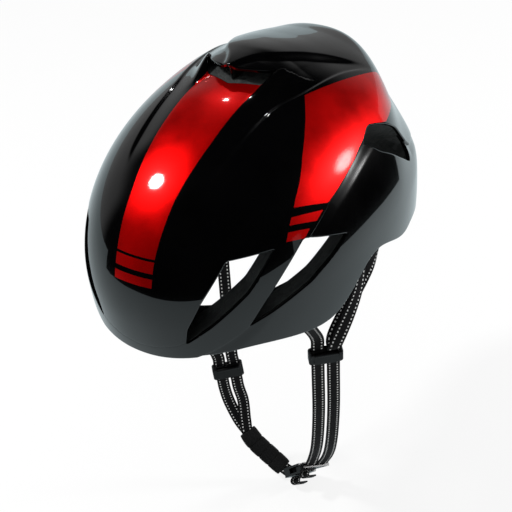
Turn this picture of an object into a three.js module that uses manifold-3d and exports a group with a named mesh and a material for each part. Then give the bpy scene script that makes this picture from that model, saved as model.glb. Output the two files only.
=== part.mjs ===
// Aero road-cycling helmet with hood vent, side windows, dial fit system, webbing and buckle.
// Millimetres, +Z up. The wearer faces -Y and the wearer's left is +X.
// Every size below is in shell coordinates, whose origin is inside the head cavity.
// The whole group is lowered at the end, so that z = 0 is the crown pad's seat on the head.
import * as THREE from "three";
import { mergeVertices } from "three/addons/utils/BufferGeometryUtils.js";
import Module from "manifold-3d";

const wasm = await Module();
wasm.setup();

// ---------------------------------------------------------------- driving dimensions
const SHELL = { front: 155, rear: 148, half: 100, top: 111, low: 170, power: 2.2 };
const SHOULDER = { share: 0.08, azimuth: 155, around: 45, elevation: 18, upright: 22 };
const HEAD = { half: 77, length: 102, top: 84, low: 240, y: -20 };
const CLEARANCE = 0.3;
const SKIN = 2;
const PAD = 6;
const COLUMNS = 44;
const ROWS = 10;

const SEAM = [[-149, -70], [-149, -24], [-142, -18], [-134, -12], [-122, -3], [-106, 12], [-90, 26],
  [-73, 38], [-42, 52], [-10, 60], [5, 63], [26, 66], [60, 42], [84, 16], [112, 6], [170, 2]];
const SEAM_GAP = 0.5;
const RIM = [[0, -24], [25, -20], [55, -34], [84, -12], [118, -33], [150, -46], [180, -48]];

const HOOD = { lip: -15, cornerX: 31, cornerY: 6, tail: 118, rise: 14, wall: 2.4, edge: 2.2 };
const HOOD_PLAN = { frontHalf: 40, rearHalf: 56, spread: 95, roundFrom: 70, roundLength: 62 };
const HOOD_TAIL = { from: 20, length: 60, drop: 0.75 };
const KEEL = { width: 5, length: 40, setBack: 3 };
const SLOT = { inner: 5, width: 20, y: 2, length: 32, height: 80, z: 100 };
const MOUTH = { frontY: -17.5, sideX: 22, sideY: -9.4, backX: 27 };
const TAIL_VENT = { width: 24, length: 120, height: 14, pitch: 32, y: 130, z: -14 };

const WEB = { width: 10, thickness: 1.3 };
const ANCHOR = { width: 16, depth: 5, height: 9, inset: 4 };

const DIVIDER = { width: 25.6, height: 14, depth: 5, travel: 12 };
const CAM = { width: 18, height: 10, depth: 1.6, barrel: 1.3 };

const BUCKLE = { length: 22, width: 17, depth: 8, wall: 1.5, barWidth: 26.6, barLength: 13 };
const PRONG = { width: 2.8, length: 14, thickness: 3.6, place: 5.1, head: 1.4 };
const CHIN_PAD = { width: 16, thickness: 6 };

const DIAL = { y: 70, z: -58, pitch: 4, teeth: 10, knob: 14, knobDepth: 9, spindle: 2.2, lobes: 18 };
const HOUSING = { half: 23, height: 30, depth: 10, tunnelHeight: 19.2, tunnelDepth: 4.4 };
const COVER = { width: 56, height: 34, thickness: 3 };
const RACK = { height: 3.4, thickness: 3.2, overlap: 14, tooth: 0.8 };
const ARM = { height: 10, thickness: 2, travel: 5 };
const PIVOT = { y: -45, z: -18, pin: 3, cupReach: 9, cupWall: 3, cupSink: 2.5, eyeX: 65.5, pinLength: 9.4 };
const TONGUE = { width: 12, thickness: 2, inset: 3, top: 5 };
const OCCIPITAL_PAD = { width: 26, height: 26, thickness: 5, x: 18 };
const FACET = 0.6;

// ---------------------------------------------------------------- materials
const gloss = { color: 0x060607, roughness: 0.12, metalness: 0 };
const foam = { color: 0x17181a, roughness: 0.95, metalness: 0 };
const textile = { color: 0x141416, roughness: 0.9, metalness: 0 };
const webbing = { color: 0x101012, roughness: 0.85, metalness: 0 };
const plastic = { color: 0x0c0c0d, roughness: 0.4, metalness: 0 };

// ---------------------------------------------------------------- small helpers
const rad = THREE.MathUtils.degToRad;
const smooth = (t) => THREE.MathUtils.smoothstep(t, 0, 1);
const vec = (x, y, z) => new THREE.Vector3(x, y, z);

function solid(geometry) {
  const bare = geometry.clone();
  bare.deleteAttribute("normal");
  bare.deleteAttribute("uv");
  const merged = mergeVertices(bare, 1e-4);
  return new wasm.Manifold(new wasm.Mesh({
    numProp: 3,
    vertProperties: new Float32Array(merged.attributes.position.array),
    triVerts: new Uint32Array(merged.index.array),
  }));
}

function geometryOf(manifold) {
  const { vertProperties, triVerts, numProp } = manifold.getMesh();
  const points = [];
  for (let i = 0; i < vertProperties.length; i += numProp) {
    points.push(vertProperties[i], vertProperties[i + 1], vertProperties[i + 2]);
  }
  const geometry = new THREE.BufferGeometry();
  geometry.setAttribute("position", new THREE.Float32BufferAttribute(points, 3));
  geometry.setIndex(Array.from(triVerts));
  geometry.computeVertexNormals();
  return geometry;
}

const helmet = new THREE.Group();

function place(name, shape, look) {
  const geometry = shape.isBufferGeometry ? shape : geometryOf(shape);
  const mesh = new THREE.Mesh(geometry, new THREE.MeshStandardMaterial(look));
  mesh.name = name;
  helmet.add(mesh);
}

function moved(geometry, position, xAxis = vec(1, 0, 0), yAxis = vec(0, 1, 0)) {
  const zAxis = xAxis.clone().cross(yAxis).normalize();
  const frame = new THREE.Matrix4().makeBasis(xAxis, yAxis, zAxis).setPosition(position);
  return geometry.applyMatrix4(frame);
}

function block(width, depth, height, position, xAxis, yAxis) {
  return solid(moved(new THREE.BoxGeometry(width, depth, height), position, xAxis, yAxis));
}

function roundedPlate(width, height, depth, corner) {
  const x = width / 2 - corner;
  const y = height / 2 - corner;
  const shape = new THREE.Shape();
  shape.absarc(x, y, corner, 0, Math.PI / 2);
  shape.absarc(-x, y, corner, Math.PI / 2, Math.PI);
  shape.absarc(-x, -y, corner, Math.PI, Math.PI * 1.5);
  shape.absarc(x, -y, corner, Math.PI * 1.5, Math.PI * 2);
  const plate = new THREE.ExtrudeGeometry(shape, { depth, bevelEnabled: false, curveSegments: 3 });
  return plate.translate(0, 0, -depth / 2);
}

function cylinderAlong(axis, radius, length, centre, sides = 16) {
  const turn = new THREE.Quaternion().setFromUnitVectors(vec(0, 1, 0), axis);
  const cylinder = new THREE.CylinderGeometry(radius, radius, length, sides).applyQuaternion(turn);
  return solid(cylinder.translate(centre.x, centre.y, centre.z));
}

// ---------------------------------------------------------------- surfaces around the head
function direction(azimuth, elevation) {
  const level = Math.cos(elevation);
  return vec(Math.sin(azimuth) * level, -Math.cos(azimuth) * level, Math.sin(elevation));
}

function swell(t) {
  return Math.max(0, 1 - t * t) ** 2;
}

// How much closer in the outer surface lies on the hollow shoulders either side of the tail.
function shoulder(d) {
  const azimuth = THREE.MathUtils.radToDeg(Math.atan2(Math.abs(d.x), -d.y));
  const elevation = THREE.MathUtils.radToDeg(Math.atan2(d.z, Math.hypot(d.x, d.y)));
  const around = swell((azimuth - SHOULDER.azimuth) / SHOULDER.around);
  return SHOULDER.share * around * swell((elevation - SHOULDER.elevation) / SHOULDER.upright);
}

function shellRadius(d) {
  const span = d.y < 0 ? SHELL.front : SHELL.rear;
  const height = d.z > 0 ? SHELL.top : SHELL.low;
  const p = SHELL.power;
  const sum = Math.abs(d.x / SHELL.half) ** p + Math.abs(d.y / span) ** p + Math.abs(d.z / height) ** p;
  return (1 - shoulder(d)) * sum ** (-1 / p);
}

function headRadius(d) {
  const height = d.z > 0 ? HEAD.top : HEAD.low;
  const a = (d.x / HEAD.half) ** 2 + (d.y / HEAD.length) ** 2 + (d.z / height) ** 2;
  const b = d.y * HEAD.y / HEAD.length ** 2;
  const c = (HEAD.y / HEAD.length) ** 2 - 1;
  return (b + Math.sqrt(b * b - a * c)) / a;
}

function rimHeight(azimuth) {
  const angle = Math.abs(THREE.MathUtils.radToDeg(Math.atan2(Math.sin(azimuth), Math.cos(azimuth))));
  const next = Math.max(1, RIM.findIndex(([a]) => a >= angle - 1e-6));
  const [a0, z0] = RIM[next - 1];
  const [a1, z1] = RIM[next];
  return THREE.MathUtils.lerp(z0, z1, smooth((angle - a0) / (a1 - a0)));
}

function elevationAt(azimuth, height) {
  let elevation = 0;
  for (let turn = 0; turn < 30; turn += 1) {
    const radius = shellRadius(direction(azimuth, elevation));
    elevation = Math.asin(THREE.MathUtils.clamp(height / radius, -0.95, 0.95));
  }
  return elevation;
}

function onShell(azimuthDegrees, height) {
  const azimuth = rad(azimuthDegrees);
  const d = direction(azimuth, elevationAt(azimuth, height));
  return d.multiplyScalar(shellRadius(d));
}

// A closed wall between two surfaces that are both given as a radius for each direction.
function domeWall(outer, inner) {
  const points = [];
  const index = [];
  const ring = (surface, row) => surface * (ROWS * COLUMNS + 1) + row * COLUMNS;
  const pole = (surface) => ring(surface, ROWS);
  [outer, inner].forEach((radius) => {
    for (let row = 0; row < ROWS; row += 1) {
      for (let column = 0; column < COLUMNS; column += 1) {
        const azimuth = (column / COLUMNS) * Math.PI * 2;
        const low = elevationAt(azimuth, rimHeight(azimuth));
        const d = direction(azimuth, low + (Math.PI / 2 - low) * (row / ROWS));
        points.push(...d.multiplyScalar(radius(d)).toArray());
      }
    }
    points.push(0, 0, radius(vec(0, 0, 1)));
  });
  const quad = (a, b, c, d, flip) => {
    if (flip) index.push(a, c, b, a, d, c);
    else index.push(a, b, c, a, c, d);
  };
  for (let column = 0; column < COLUMNS; column += 1) {
    const side = (column + 1) % COLUMNS;
    for (let surface = 0; surface < 2; surface += 1) {
      const flip = surface === 1;
      for (let row = 0; row + 1 < ROWS; row += 1) {
        const a = ring(surface, row);
        const b = ring(surface, row + 1);
        quad(a + column, a + side, b + side, b + column, flip);
      }
      const last = ring(surface, ROWS - 1);
      if (flip) index.push(last + column, pole(1), last + side);
      else index.push(last + column, last + side, pole(0));
    }
    quad(ring(0, 0) + side, ring(0, 0) + column, ring(1, 0) + column, ring(1, 0) + side, false);
  }
  const geometry = new THREE.BufferGeometry();
  geometry.setAttribute("position", new THREE.Float32BufferAttribute(points, 3));
  geometry.setIndex(index);
  return geometry;
}

// A padded patch on the head side of the liner, between two azimuths and two elevations.
function wallPatch(fromAzimuth, toAzimuth, fromElevation, toElevation, thickness, steps) {
  const patch = new THREE.BoxGeometry(1, 1, 1, steps, 3, 1);
  const { position } = patch.attributes;
  for (let i = 0; i < position.count; i += 1) {
    const azimuth = rad(THREE.MathUtils.lerp(fromAzimuth, toAzimuth, position.getX(i) + 0.5));
    const elevation = rad(THREE.MathUtils.lerp(fromElevation, toElevation, position.getY(i) + 0.5));
    const d = direction(azimuth, elevation);
    const inset = position.getZ(i) > 0 ? CLEARANCE + FACET : thickness;
    d.multiplyScalar(headRadius(d) - inset);
    position.setXYZ(i, d.x, d.y, d.z);
  }
  return solid(patch);
}

// A straight passage whose section is an outline on the shell, seen along the way the air goes.
function passage(outline, toward, before, after) {
  const corners = outline.map(([azimuth, height]) => onShell(azimuth, height));
  const centre = corners.reduce((sum, p) => sum.add(p), vec(0, 0, 0)).divideScalar(corners.length);
  const w = toward.clone().normalize();
  const u = vec(0, 0, 1).cross(w).normalize();
  const v = w.clone().cross(u);
  const shape = new THREE.Shape(corners.map((p) => {
    const from = p.clone().sub(centre);
    return new THREE.Vector2(from.dot(u), from.dot(v));
  }));
  const prism = new THREE.ExtrudeGeometry(shape, { depth: before + after, bevelEnabled: false });
  return solid(moved(prism, centre.addScaledVector(w, -before), u, v));
}

// ---------------------------------------------------------------- vents
const WINDOW_FRONT = [[25, 47], [39, 44], [30, 23.3], [19.7, 4.2], [13, -8], [14, 4], [18, 23]];
const WINDOW_REAR = [[49.5, 41], [68.6, 24], [60.6, 17.9], [49.5, 9.7], [39, 4.4], [29, -3],
  [34.5, 13], [41.5, 28]];
const SIDE_SLOT = [[97, 64], [107, 68.5], [117, 60], [126, 46], [133, 23], [128, 12], [117, 31],
  [105, 50]];
const WINDOW_WAY = vec(-0.61, 0.73, -0.28);
const SLOT_WAY = vec(-0.85, -0.35, -0.45);
const FRONT_DEPTH = { before: 40, after: 75 };
const REAR_DEPTH = { before: 30, after: 60 };
const SLOT_DEPTH = { before: 25, after: 60 };

function mirrored(outline) {
  return outline.map(([azimuth, height]) => [-azimuth, height]).reverse();
}

function ventPair(outline, way, { before, after }) {
  const opposite = vec(-way.x, way.y, way.z);
  return passage(outline, way, before, after).add(passage(mirrored(outline), opposite, before, after));
}

function topSlot(side) {
  const x = side * (SLOT.inner + SLOT.width / 2);
  return block(SLOT.width, SLOT.length, SLOT.height, vec(x, SLOT.y + SLOT.length / 2, SLOT.z));
}

// The mouth under the hood is open through the skin from its front edge back to the foam slots.
function mouthOpening() {
  const { frontY, sideX, sideY, backX } = MOUTH;
  const back = SLOT.y + SLOT.length;
  const outline = [[0, frontY], [sideX, sideY], [HOOD.cornerX, HOOD.cornerY], [backX, back],
    [-backX, back], [-HOOD.cornerX, HOOD.cornerY], [-sideX, sideY]];
  const shape = new THREE.Shape(outline.map(([x, y]) => new THREE.Vector2(x, y)));
  const prism = new THREE.ExtrudeGeometry(shape, { depth: SLOT.height, bevelEnabled: false });
  return solid(prism.translate(0, 0, SLOT.z - SLOT.height / 2));
}

const tailVents = [-1, 0, 1].map((column) => {
  const { width, length, height, pitch, y, z } = TAIL_VENT;
  return block(width, length, height, vec(column * pitch, y, z));
});

// ---------------------------------------------------------------- shells and liner
function sideRegion(above, gap) {
  const line = SEAM.map(([y, z]) => new THREE.Vector2(y, z + (above ? gap : -gap)));
  const reach = above ? 200 : -200;
  const shape = new THREE.Shape([
    ...(above ? [new THREE.Vector2(-200, -70)] : []),
    ...line,
    new THREE.Vector2(170, reach),
    new THREE.Vector2(above ? -200 : -149, reach),
  ]);
  const prism = new THREE.ExtrudeGeometry(shape, { depth: 260, bevelEnabled: false });
  return solid(moved(prism, vec(-130, 0, 0), vec(0, 1, 0), vec(0, 0, 1)));
}

const skin = solid(domeWall(shellRadius, (d) => shellRadius(d) - SKIN));
const frontWindows = ventPair(WINDOW_FRONT, WINDOW_WAY, FRONT_DEPTH);
const rearWindows = ventPair(WINDOW_REAR, WINDOW_WAY, REAR_DEPTH);
const sideSlots = ventPair(SIDE_SLOT, SLOT_WAY, SLOT_DEPTH);
const topSlots = topSlot(1).add(topSlot(-1));

const upperShell = skin.intersect(sideRegion(true, SEAM_GAP / 2))
  .subtract(frontWindows)
  .subtract(rearWindows)
  .subtract(sideSlots)
  .subtract(mouthOpening());
place("upper_shell", upperShell, gloss);

const lowerShell = tailVents.reduce(
  (shell, vent) => shell.subtract(vent),
  skin.intersect(sideRegion(false, SEAM_GAP / 2)).subtract(rearWindows).subtract(sideSlots),
);
place("lower_shell", lowerShell, gloss);

// ---------------------------------------------------------------- crown hood
function hoodHalfWidth(y) {
  const { frontHalf, rearHalf, spread, roundFrom, roundLength } = HOOD_PLAN;
  const open = THREE.MathUtils.lerp(frontHalf, rearHalf, smooth((y - HOOD.lip) / spread));
  const rounding = Math.max(0, (y - roundFrom) / roundLength);
  return open * Math.sqrt(Math.max(0, 1 - rounding ** 2));
}

function plainHeight(x, y) {
  const span = y < 0 ? SHELL.front : SHELL.rear;
  const p = SHELL.power;
  const rest = 1 - Math.abs(x / SHELL.half) ** p - Math.abs(y / span) ** p;
  return SHELL.top * Math.max(0, rest) ** (1 / p);
}

function shellHeight(x, y) {
  let z = plainHeight(x, y);
  for (let round = 0; round < 10; round += 1) {
    const share = 1 - shoulder(vec(x, y, z));
    z = share * plainHeight(x / share, y / share);
  }
  return z;
}

function hoodRise(across, y) {
  const along = 1 - HOOD_TAIL.drop * smooth((y - HOOD_TAIL.from) / HOOD_TAIL.length);
  return HOOD.edge + (HOOD.rise - HOOD.edge) * along * smooth(1 - Math.abs(across));
}

function hoodGeometry() {
  const corner = HOOD.cornerX / hoodHalfWidth(HOOD.cornerY);
  const hood = new THREE.BoxGeometry(2, 1, 1, 14, 22, 1);
  const { position } = hood.attributes;
  for (let i = 0; i < position.count; i += 1) {
    const across = position.getX(i);
    const along = position.getY(i) + 0.5;
    const lip = HOOD.lip + (HOOD.cornerY - HOOD.lip) * Math.min(1, Math.abs(across) / corner) ** 2;
    const y = THREE.MathUtils.lerp(lip, HOOD.tail, along);
    const x = across * hoodHalfWidth(y);
    const rise = hoodRise(across, y);
    const under = Math.max(CLEARANCE + 0.5, rise - HOOD.wall);
    position.setXYZ(i, x, y, shellHeight(x, y) + (position.getZ(i) > 0 ? rise : under));
  }
  return hood;
}

function keel() {
  const top = shellHeight(0, 0) + HOOD.rise - HOOD.wall / 2;
  const bottom = shellHeight(0, 0) + CLEARANCE + 0.2;
  const y = HOOD.lip + KEEL.setBack + KEEL.length / 2;
  return block(KEEL.width, KEEL.length, top - bottom, vec(0, y, (top + bottom) / 2));
}

place("crown_hood", solid(hoodGeometry()).add(keel()), gloss);

// ---------------------------------------------------------------- strap anchors, in liner pockets
const ANCHOR_SPOTS = { front: [77, -74], middle: [86, -4], rear: [79, 50] };
const anchors = {};
let pockets = null;

// The direction along the liner's wall at a place between the skin and the head.
function anchorWidth(name, side) {
  const [x, y] = ANCHOR_SPOTS[name];
  return vec(-side * (y - HEAD.y) * HEAD.half / HEAD.length, x * HEAD.length / HEAD.half, 0).normalize();
}

function linerFoot(x, y) {
  const azimuth = Math.atan2(x, -y);
  const d = direction(azimuth, elevationAt(azimuth, rimHeight(azimuth)));
  return d.z * Math.hypot(x, y) / Math.hypot(d.x, d.y);
}

Object.entries(ANCHOR_SPOTS).forEach(([name, [x, y]]) => {
  [["left", 1], ["right", -1]].forEach(([sideName, side]) => {
    const along = anchorWidth(name, side);
    const across = vec(0, 0, 1).cross(along).normalize();
    const foot = linerFoot(x, y) + ANCHOR.inset;
    const below = 20;
    const pocket = block(
      ANCHOR.width + 2 * CLEARANCE,
      ANCHOR.depth + 2 * CLEARANCE,
      ANCHOR.height + CLEARANCE + below,
      vec(side * x, y, foot + (ANCHOR.height + CLEARANCE - below) / 2),
      along,
      across,
    );
    pockets = pockets ? pockets.add(pocket) : pocket;
    const puck = roundedPlate(ANCHOR.width, ANCHOR.depth, ANCHOR.height, 1.6);
    const centre = vec(side * x, y, foot + ANCHOR.height / 2);
    anchors[`anchor_${name}_${sideName}`] = moved(puck, centre, along, across);
  });
});

// ---------------------------------------------------------------- fit system fixed parts
const TONGUE_RADIUS = Math.hypot(DIAL.y - PIVOT.y, DIAL.z - PIVOT.z) - TONGUE.inset;
const RAIL = { from: 1, to: 9, wall: 1.8, side: 3, back: 6.9 };

function sector(radiusIn, radiusOut, fromAngle, toAngle, width) {
  const shape = new THREE.Shape();
  shape.absarc(0, 0, radiusOut, rad(fromAngle), rad(toAngle), false);
  shape.absarc(0, 0, radiusIn, rad(toAngle), rad(fromAngle), true);
  const bar = new THREE.ExtrudeGeometry(shape, { depth: width, bevelEnabled: false, curveSegments: 6 });
  return solid(moved(bar, vec(-width / 2, PIVOT.y, PIVOT.z), vec(0, 1, 0), vec(0, 0, 1)));
}

function heightRail() {
  const room = TONGUE.thickness / 2 + CLEARANCE + 0.2;
  const inside = TONGUE_RADIUS - room - RAIL.wall;
  const width = TONGUE.width + 2 * RAIL.side;
  const body = sector(inside, TONGUE_RADIUS + RAIL.back, RAIL.from, RAIL.to, width);
  const channel = sector(TONGUE_RADIUS - room, TONGUE_RADIUS + room, -30, 40, TONGUE.width + 2 * CLEARANCE);
  return body.subtract(channel);
}

const pivotShare = ((PIVOT.y - HEAD.y) / HEAD.length) ** 2 + (PIVOT.z / HEAD.low) ** 2;
const SOCKET_END = HEAD.half * Math.sqrt(1 - pivotShare) + PIVOT.cupSink;

function alongX(radius, from, to, side, y, z, sides = 16) {
  const centre = vec(side * (from + to) / 2, y, z);
  return cylinderAlong(vec(1, 0, 0), radius, to - from, centre, sides);
}

function pivotSocket(side) {
  const start = SOCKET_END - PIVOT.cupReach;
  const cup = alongX(PIVOT.pin + PIVOT.cupWall, start, SOCKET_END, side, PIVOT.y, PIVOT.z);
  const bore = alongX(PIVOT.pin + CLEARANCE, start - 5, SOCKET_END - 1.2, side, PIVOT.y, PIVOT.z);
  return cup.subtract(bore);
}

function socketPocket(side) {
  const start = SOCKET_END - 2 * PIVOT.cupReach;
  const radius = PIVOT.pin + PIVOT.cupWall + CLEARANCE;
  return alongX(radius, start, SOCKET_END + CLEARANCE, side, PIVOT.y, PIVOT.z);
}

// ---------------------------------------------------------------- liner
const foamCore = solid(domeWall((d) => shellRadius(d) - SKIN - CLEARANCE, headRadius));
const liner = [frontWindows, rearWindows, sideSlots, topSlots, pockets, socketPocket(1), socketPocket(-1),
  ...tailVents].reduce((core, cut) => core.subtract(cut), foamCore);
place("eps_liner", liner, foam);

Object.entries(anchors).forEach(([name, puck]) => place(name, puck, plastic));
place("pivot_socket_left", pivotSocket(1), plastic);
place("pivot_socket_right", pivotSocket(-1), plastic);
place("height_rail", heightRail(), plastic);

// ---------------------------------------------------------------- pads
place("brow_pad", wallPatch(-52, 52, -9, -3, PAD, 10), textile);
place("temple_pad_left", wallPatch(70, 108, 4, 22, PAD, 5), textile);
place("temple_pad_right", wallPatch(-108, -70, 4, 22, PAD, 5), textile);
const crownPad = wallPatch(-36, 36, 38, 78, PAD, 6);
place("crown_pad", crownPad, textile);

// ---------------------------------------------------------------- webbing
// A ribbon of webbing along a curve. Its width turns from one direction to another, and has
// done so at the share turned of its length. lift(t) raises it off the curve, in millimetres.
function ribbon(points, widthFrom, widthTo, steps, turned = 1, size = WEB, lift = () => 0) {
  const path = new THREE.CatmullRomCurve3(points, false, "centripetal");
  const box = new THREE.BoxGeometry(1, 1, 1, 1, 1, steps);
  const { position } = box.attributes;
  for (let i = 0; i < position.count; i += 1) {
    const t = THREE.MathUtils.clamp(position.getZ(i) + 0.5, 0, 1);
    const centre = path.getPointAt(t);
    const tangent = path.getTangentAt(t);
    const across = widthFrom.clone().lerp(widthTo, smooth(t / turned));
    across.addScaledVector(tangent, -across.dot(tangent)).normalize();
    const face = tangent.clone().cross(across).normalize();
    centre.addScaledVector(across, position.getX(i) * size.width);
    centre.addScaledVector(face, position.getY(i) * size.thickness + lift(t));
    position.setXYZ(i, centre.x, centre.y, centre.z);
  }
  return solid(box);
}

function anchorFoot(name, side) {
  const [x, y] = ANCHOR_SPOTS[name];
  return vec(side * x, y, linerFoot(x, y) + ANCHOR.inset - CLEARANCE);
}

// The webbing faces outwards and forwards where it runs through the dividers. The right
// divider hangs lower, because the buckle sits beside the wearer's left jaw.
const FACING = vec(0.76, 0.65, 0).normalize();
const STRAND_GAP = 1.6;
const STRAND_SHIFT = (WEB.width + STRAND_GAP) / 2;
const STRAND_STACK = WEB.thickness / 2 + 0.3;
const STRAND_END = 3.2;
const DIVIDERS = {
  left: { side: 1, centre: vec(69, -40.5, -95), down: vec(-0.13, 0.08, -0.99).normalize() },
  right: { side: -1, centre: vec(-50, -11.5, -184), down: vec(0, 0.04, -1).normalize() },
};

function dividerFrame({ down }) {
  const across = FACING.clone().addScaledVector(down, -FACING.dot(down)).normalize();
  const up = down.clone().negate();
  return { across, up, out: across.clone().cross(up) };
}

function atDivider(divider, sideways, upwards, outwards = 0) {
  const { across, up, out } = dividerFrame(divider);
  return divider.centre.clone()
    .addScaledVector(across, sideways)
    .addScaledVector(up, upwards)
    .addScaledVector(out, outwards);
}

// ---------------------------------------------------------------- buckle place
const BUCKLE_AXIS = vec(0.74, 0, 0.67).normalize();
const BUCKLE_WIDTH = FACING.clone().addScaledVector(BUCKLE_AXIS, -FACING.dot(BUCKLE_AXIS)).normalize();
const BUCKLE_FACE = BUCKLE_AXIS.clone().cross(BUCKLE_WIDTH);
const BUCKLE_MOUTH = vec(18, -12, -269);

function atBuckle(along, across = 0, out = 0) {
  return BUCKLE_MOUTH.clone()
    .addScaledVector(BUCKLE_AXIS, along)
    .addScaledVector(BUCKLE_WIDTH, across)
    .addScaledVector(BUCKLE_FACE, out);
}

function buckleBlock(from, to, width, depth, across = 0) {
  const centre = atBuckle((from + to) / 2, across);
  return block(to - from, width, depth, centre, BUCKLE_AXIS, BUCKLE_WIDTH);
}

// ---------------------------------------------------------------- straps
const LEFT_RUN = [vec(60, -35, -161), vec(48, -26, -212), vec(35, -15, -245)];
const RIGHT_RUN = [vec(-49, -9, -222), vec(-44, -11, -243)];
const PAD_RUN = [vec(-40, -12, -252), vec(-33, -13, -260), vec(-20, -13, -270), vec(-7, -12, -281.5)];
const DIVIDER_EXIT = -DIVIDER.height / 2 - DIVIDER.travel - 2;

function leftStrand(name, strand) {
  const divider = DIVIDERS.left;
  const shift = dividerFrame(divider).across.multiplyScalar(strand * STRAND_SHIFT);
  const foot = anchorFoot(name, 1);
  return ribbon([
    foot,
    foot.clone().add(vec(0, 0, -6)),
    atDivider(divider, strand * STRAND_SHIFT, 18),
    atDivider(divider, strand * STRAND_SHIFT, 9),
    atDivider(divider, strand * STRAND_SHIFT, -9),
    atDivider(divider, strand * STRAND_SHIFT, DIVIDER_EXIT),
    ...LEFT_RUN.map((p) => p.clone().add(shift)),
    atBuckle(BUCKLE.barLength + STRAND_END, strand * STRAND_SHIFT),
  ], anchorWidth(name, 1), FACING, 52, name === "rear" ? 0.3 : 0.2);
}

function rightStrand(name, strand) {
  const divider = DIVIDERS.right;
  const shift = dividerFrame(divider).across.multiplyScalar(strand * STRAND_SHIFT);
  const foot = anchorFoot(name, -1);
  return ribbon([
    foot,
    foot.clone().add(vec(0, 0, -6)),
    atDivider(divider, strand * STRAND_SHIFT, 18),
    atDivider(divider, strand * STRAND_SHIFT, 9),
    atDivider(divider, strand * STRAND_SHIFT, -9),
    atDivider(divider, strand * STRAND_SHIFT, DIVIDER_EXIT),
    RIGHT_RUN[0].clone().add(shift),
    RIGHT_RUN[1].clone().addScaledVector(shift, 0.4),
    ...PAD_RUN,
    atBuckle(-BUCKLE.length - STRAND_END - 1.6),
  ], anchorWidth(name, -1), FACING, 52, 0.3, WEB, (t) => strand * STRAND_STACK * smooth((t - 0.6) / 0.1));
}

function innerStrand(sideName) {
  const divider = DIVIDERS[sideName];
  const foot = anchorFoot("middle", divider.side);
  const inner = divider.side;
  return ribbon([
    foot,
    foot.clone().add(vec(0, 0, -4)),
    foot.clone().add(vec(0, 0, -8)),
    foot.clone().add(vec(divider.side * 2, -14, -36)),
    atDivider(divider, inner * STRAND_SHIFT, DIVIDER.height / 2 + 4, inner * 4),
    atDivider(divider, inner * STRAND_SHIFT, DIVIDER.height / 2 + 1.5, inner * 2.6),
  ], anchorWidth("middle", divider.side), FACING, 16);
}

place("left_front_strap", leftStrand("front", -1), webbing);
place("left_rear_strap", leftStrand("rear", 1), webbing);
place("left_inner_strap", innerStrand("left"), webbing);
place("right_front_strap", rightStrand("front", -1), webbing);
place("right_rear_strap", rightStrand("rear", 1), webbing);
place("right_inner_strap", innerStrand("right"), webbing);

const sleeveRoom = { width: WEB.width + 4 * FACET, thickness: 2 * WEB.thickness + 3 * FACET };
const sleeve = ribbon(PAD_RUN, FACING, FACING, 8, 1, CHIN_PAD);
const sleeveEnds = [
  PAD_RUN[0].clone().lerp(PAD_RUN[1], -1.5),
  ...PAD_RUN,
  PAD_RUN[3].clone().lerp(PAD_RUN[2], -0.5),
];
place("chin_pad", sleeve.subtract(ribbon(sleeveEnds, FACING, FACING, 14, 1, sleeveRoom)), textile);

// ---------------------------------------------------------------- strap dividers
const BARREL_UP = DIVIDER.height / 2 - CAM.barrel - 1;
const BARREL_OUT = DIVIDER.depth / 2 + CAM.barrel + CLEARANCE;
const CAM_PIN = 0.6;
const EAR = 2;

function dividerBody(divider) {
  const { across, up } = dividerFrame(divider);
  const plate = solid(moved(
    roundedPlate(DIVIDER.width, DIVIDER.height, DIVIDER.depth, 2.5), divider.centre, across, up,
  ));
  const slots = [-1, 1].map((strand) => block(
    WEB.width + 2 * CLEARANCE,
    DIVIDER.height + 4,
    WEB.thickness + 2 * CLEARANCE,
    atDivider(divider, strand * STRAND_SHIFT, 0),
    across,
    up,
  ));
  const ears = [-1, 1].map((end) => block(
    EAR,
    2 * CAM.barrel + 2,
    2 * CAM.barrel + 1.6,
    atDivider(divider, end * (CAM.width / 2 + CLEARANCE + EAR / 2), BARREL_UP, BARREL_OUT - 0.3),
    across,
    up,
  ));
  const barrel = atDivider(divider, 0, BARREL_UP, BARREL_OUT);
  const bore = cylinderAlong(across, CAM_PIN + CLEARANCE, CAM.width + 10, barrel, 8);
  return plate.subtract(slots[0]).subtract(slots[1]).add(ears[0]).add(ears[1]).subtract(bore);
}

function cam(divider) {
  const { across, up } = dividerFrame(divider);
  const centre = atDivider(divider, 0, BARREL_UP, BARREL_OUT);
  const lever = block(
    CAM.width,
    CAM.height,
    CAM.depth,
    atDivider(divider, 0, BARREL_UP - CAM.height / 2, DIVIDER.depth / 2 + CLEARANCE + CAM.depth / 2),
    across,
    up,
  );
  return cylinderAlong(across, CAM.barrel, CAM.width, centre, 12)
    .add(cylinderAlong(across, CAM_PIN, CAM.width + 2 * EAR - 1, centre, 8))
    .add(lever);
}

Object.entries(DIVIDERS).forEach(([sideName, divider]) => {
  place(`divider_${sideName}`, dividerBody(divider), plastic);
  place(`divider_cam_${sideName}`, cam(divider), plastic);
});

// ---------------------------------------------------------------- buckle
function buckleFemale() {
  const { length, width, depth, wall } = BUCKLE;
  const depthInside = depth - 2 * wall;
  const shell = buckleBlock(-length, 0, width, depth);
  const pocket = buckleBlock(-length + 6, 1, width - 2 * wall, depthInside);
  const windows = buckleBlock(-length + 7.5, 1, width + 2, depthInside - 0.6);
  const slot = buckleBlock(-length + 1.8, -length + 4.4, WEB.width + 1, depth + 2);
  return shell.subtract(pocket).subtract(windows).subtract(slot);
}

const MALE_DEPTH = BUCKLE.depth - 3;

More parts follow.
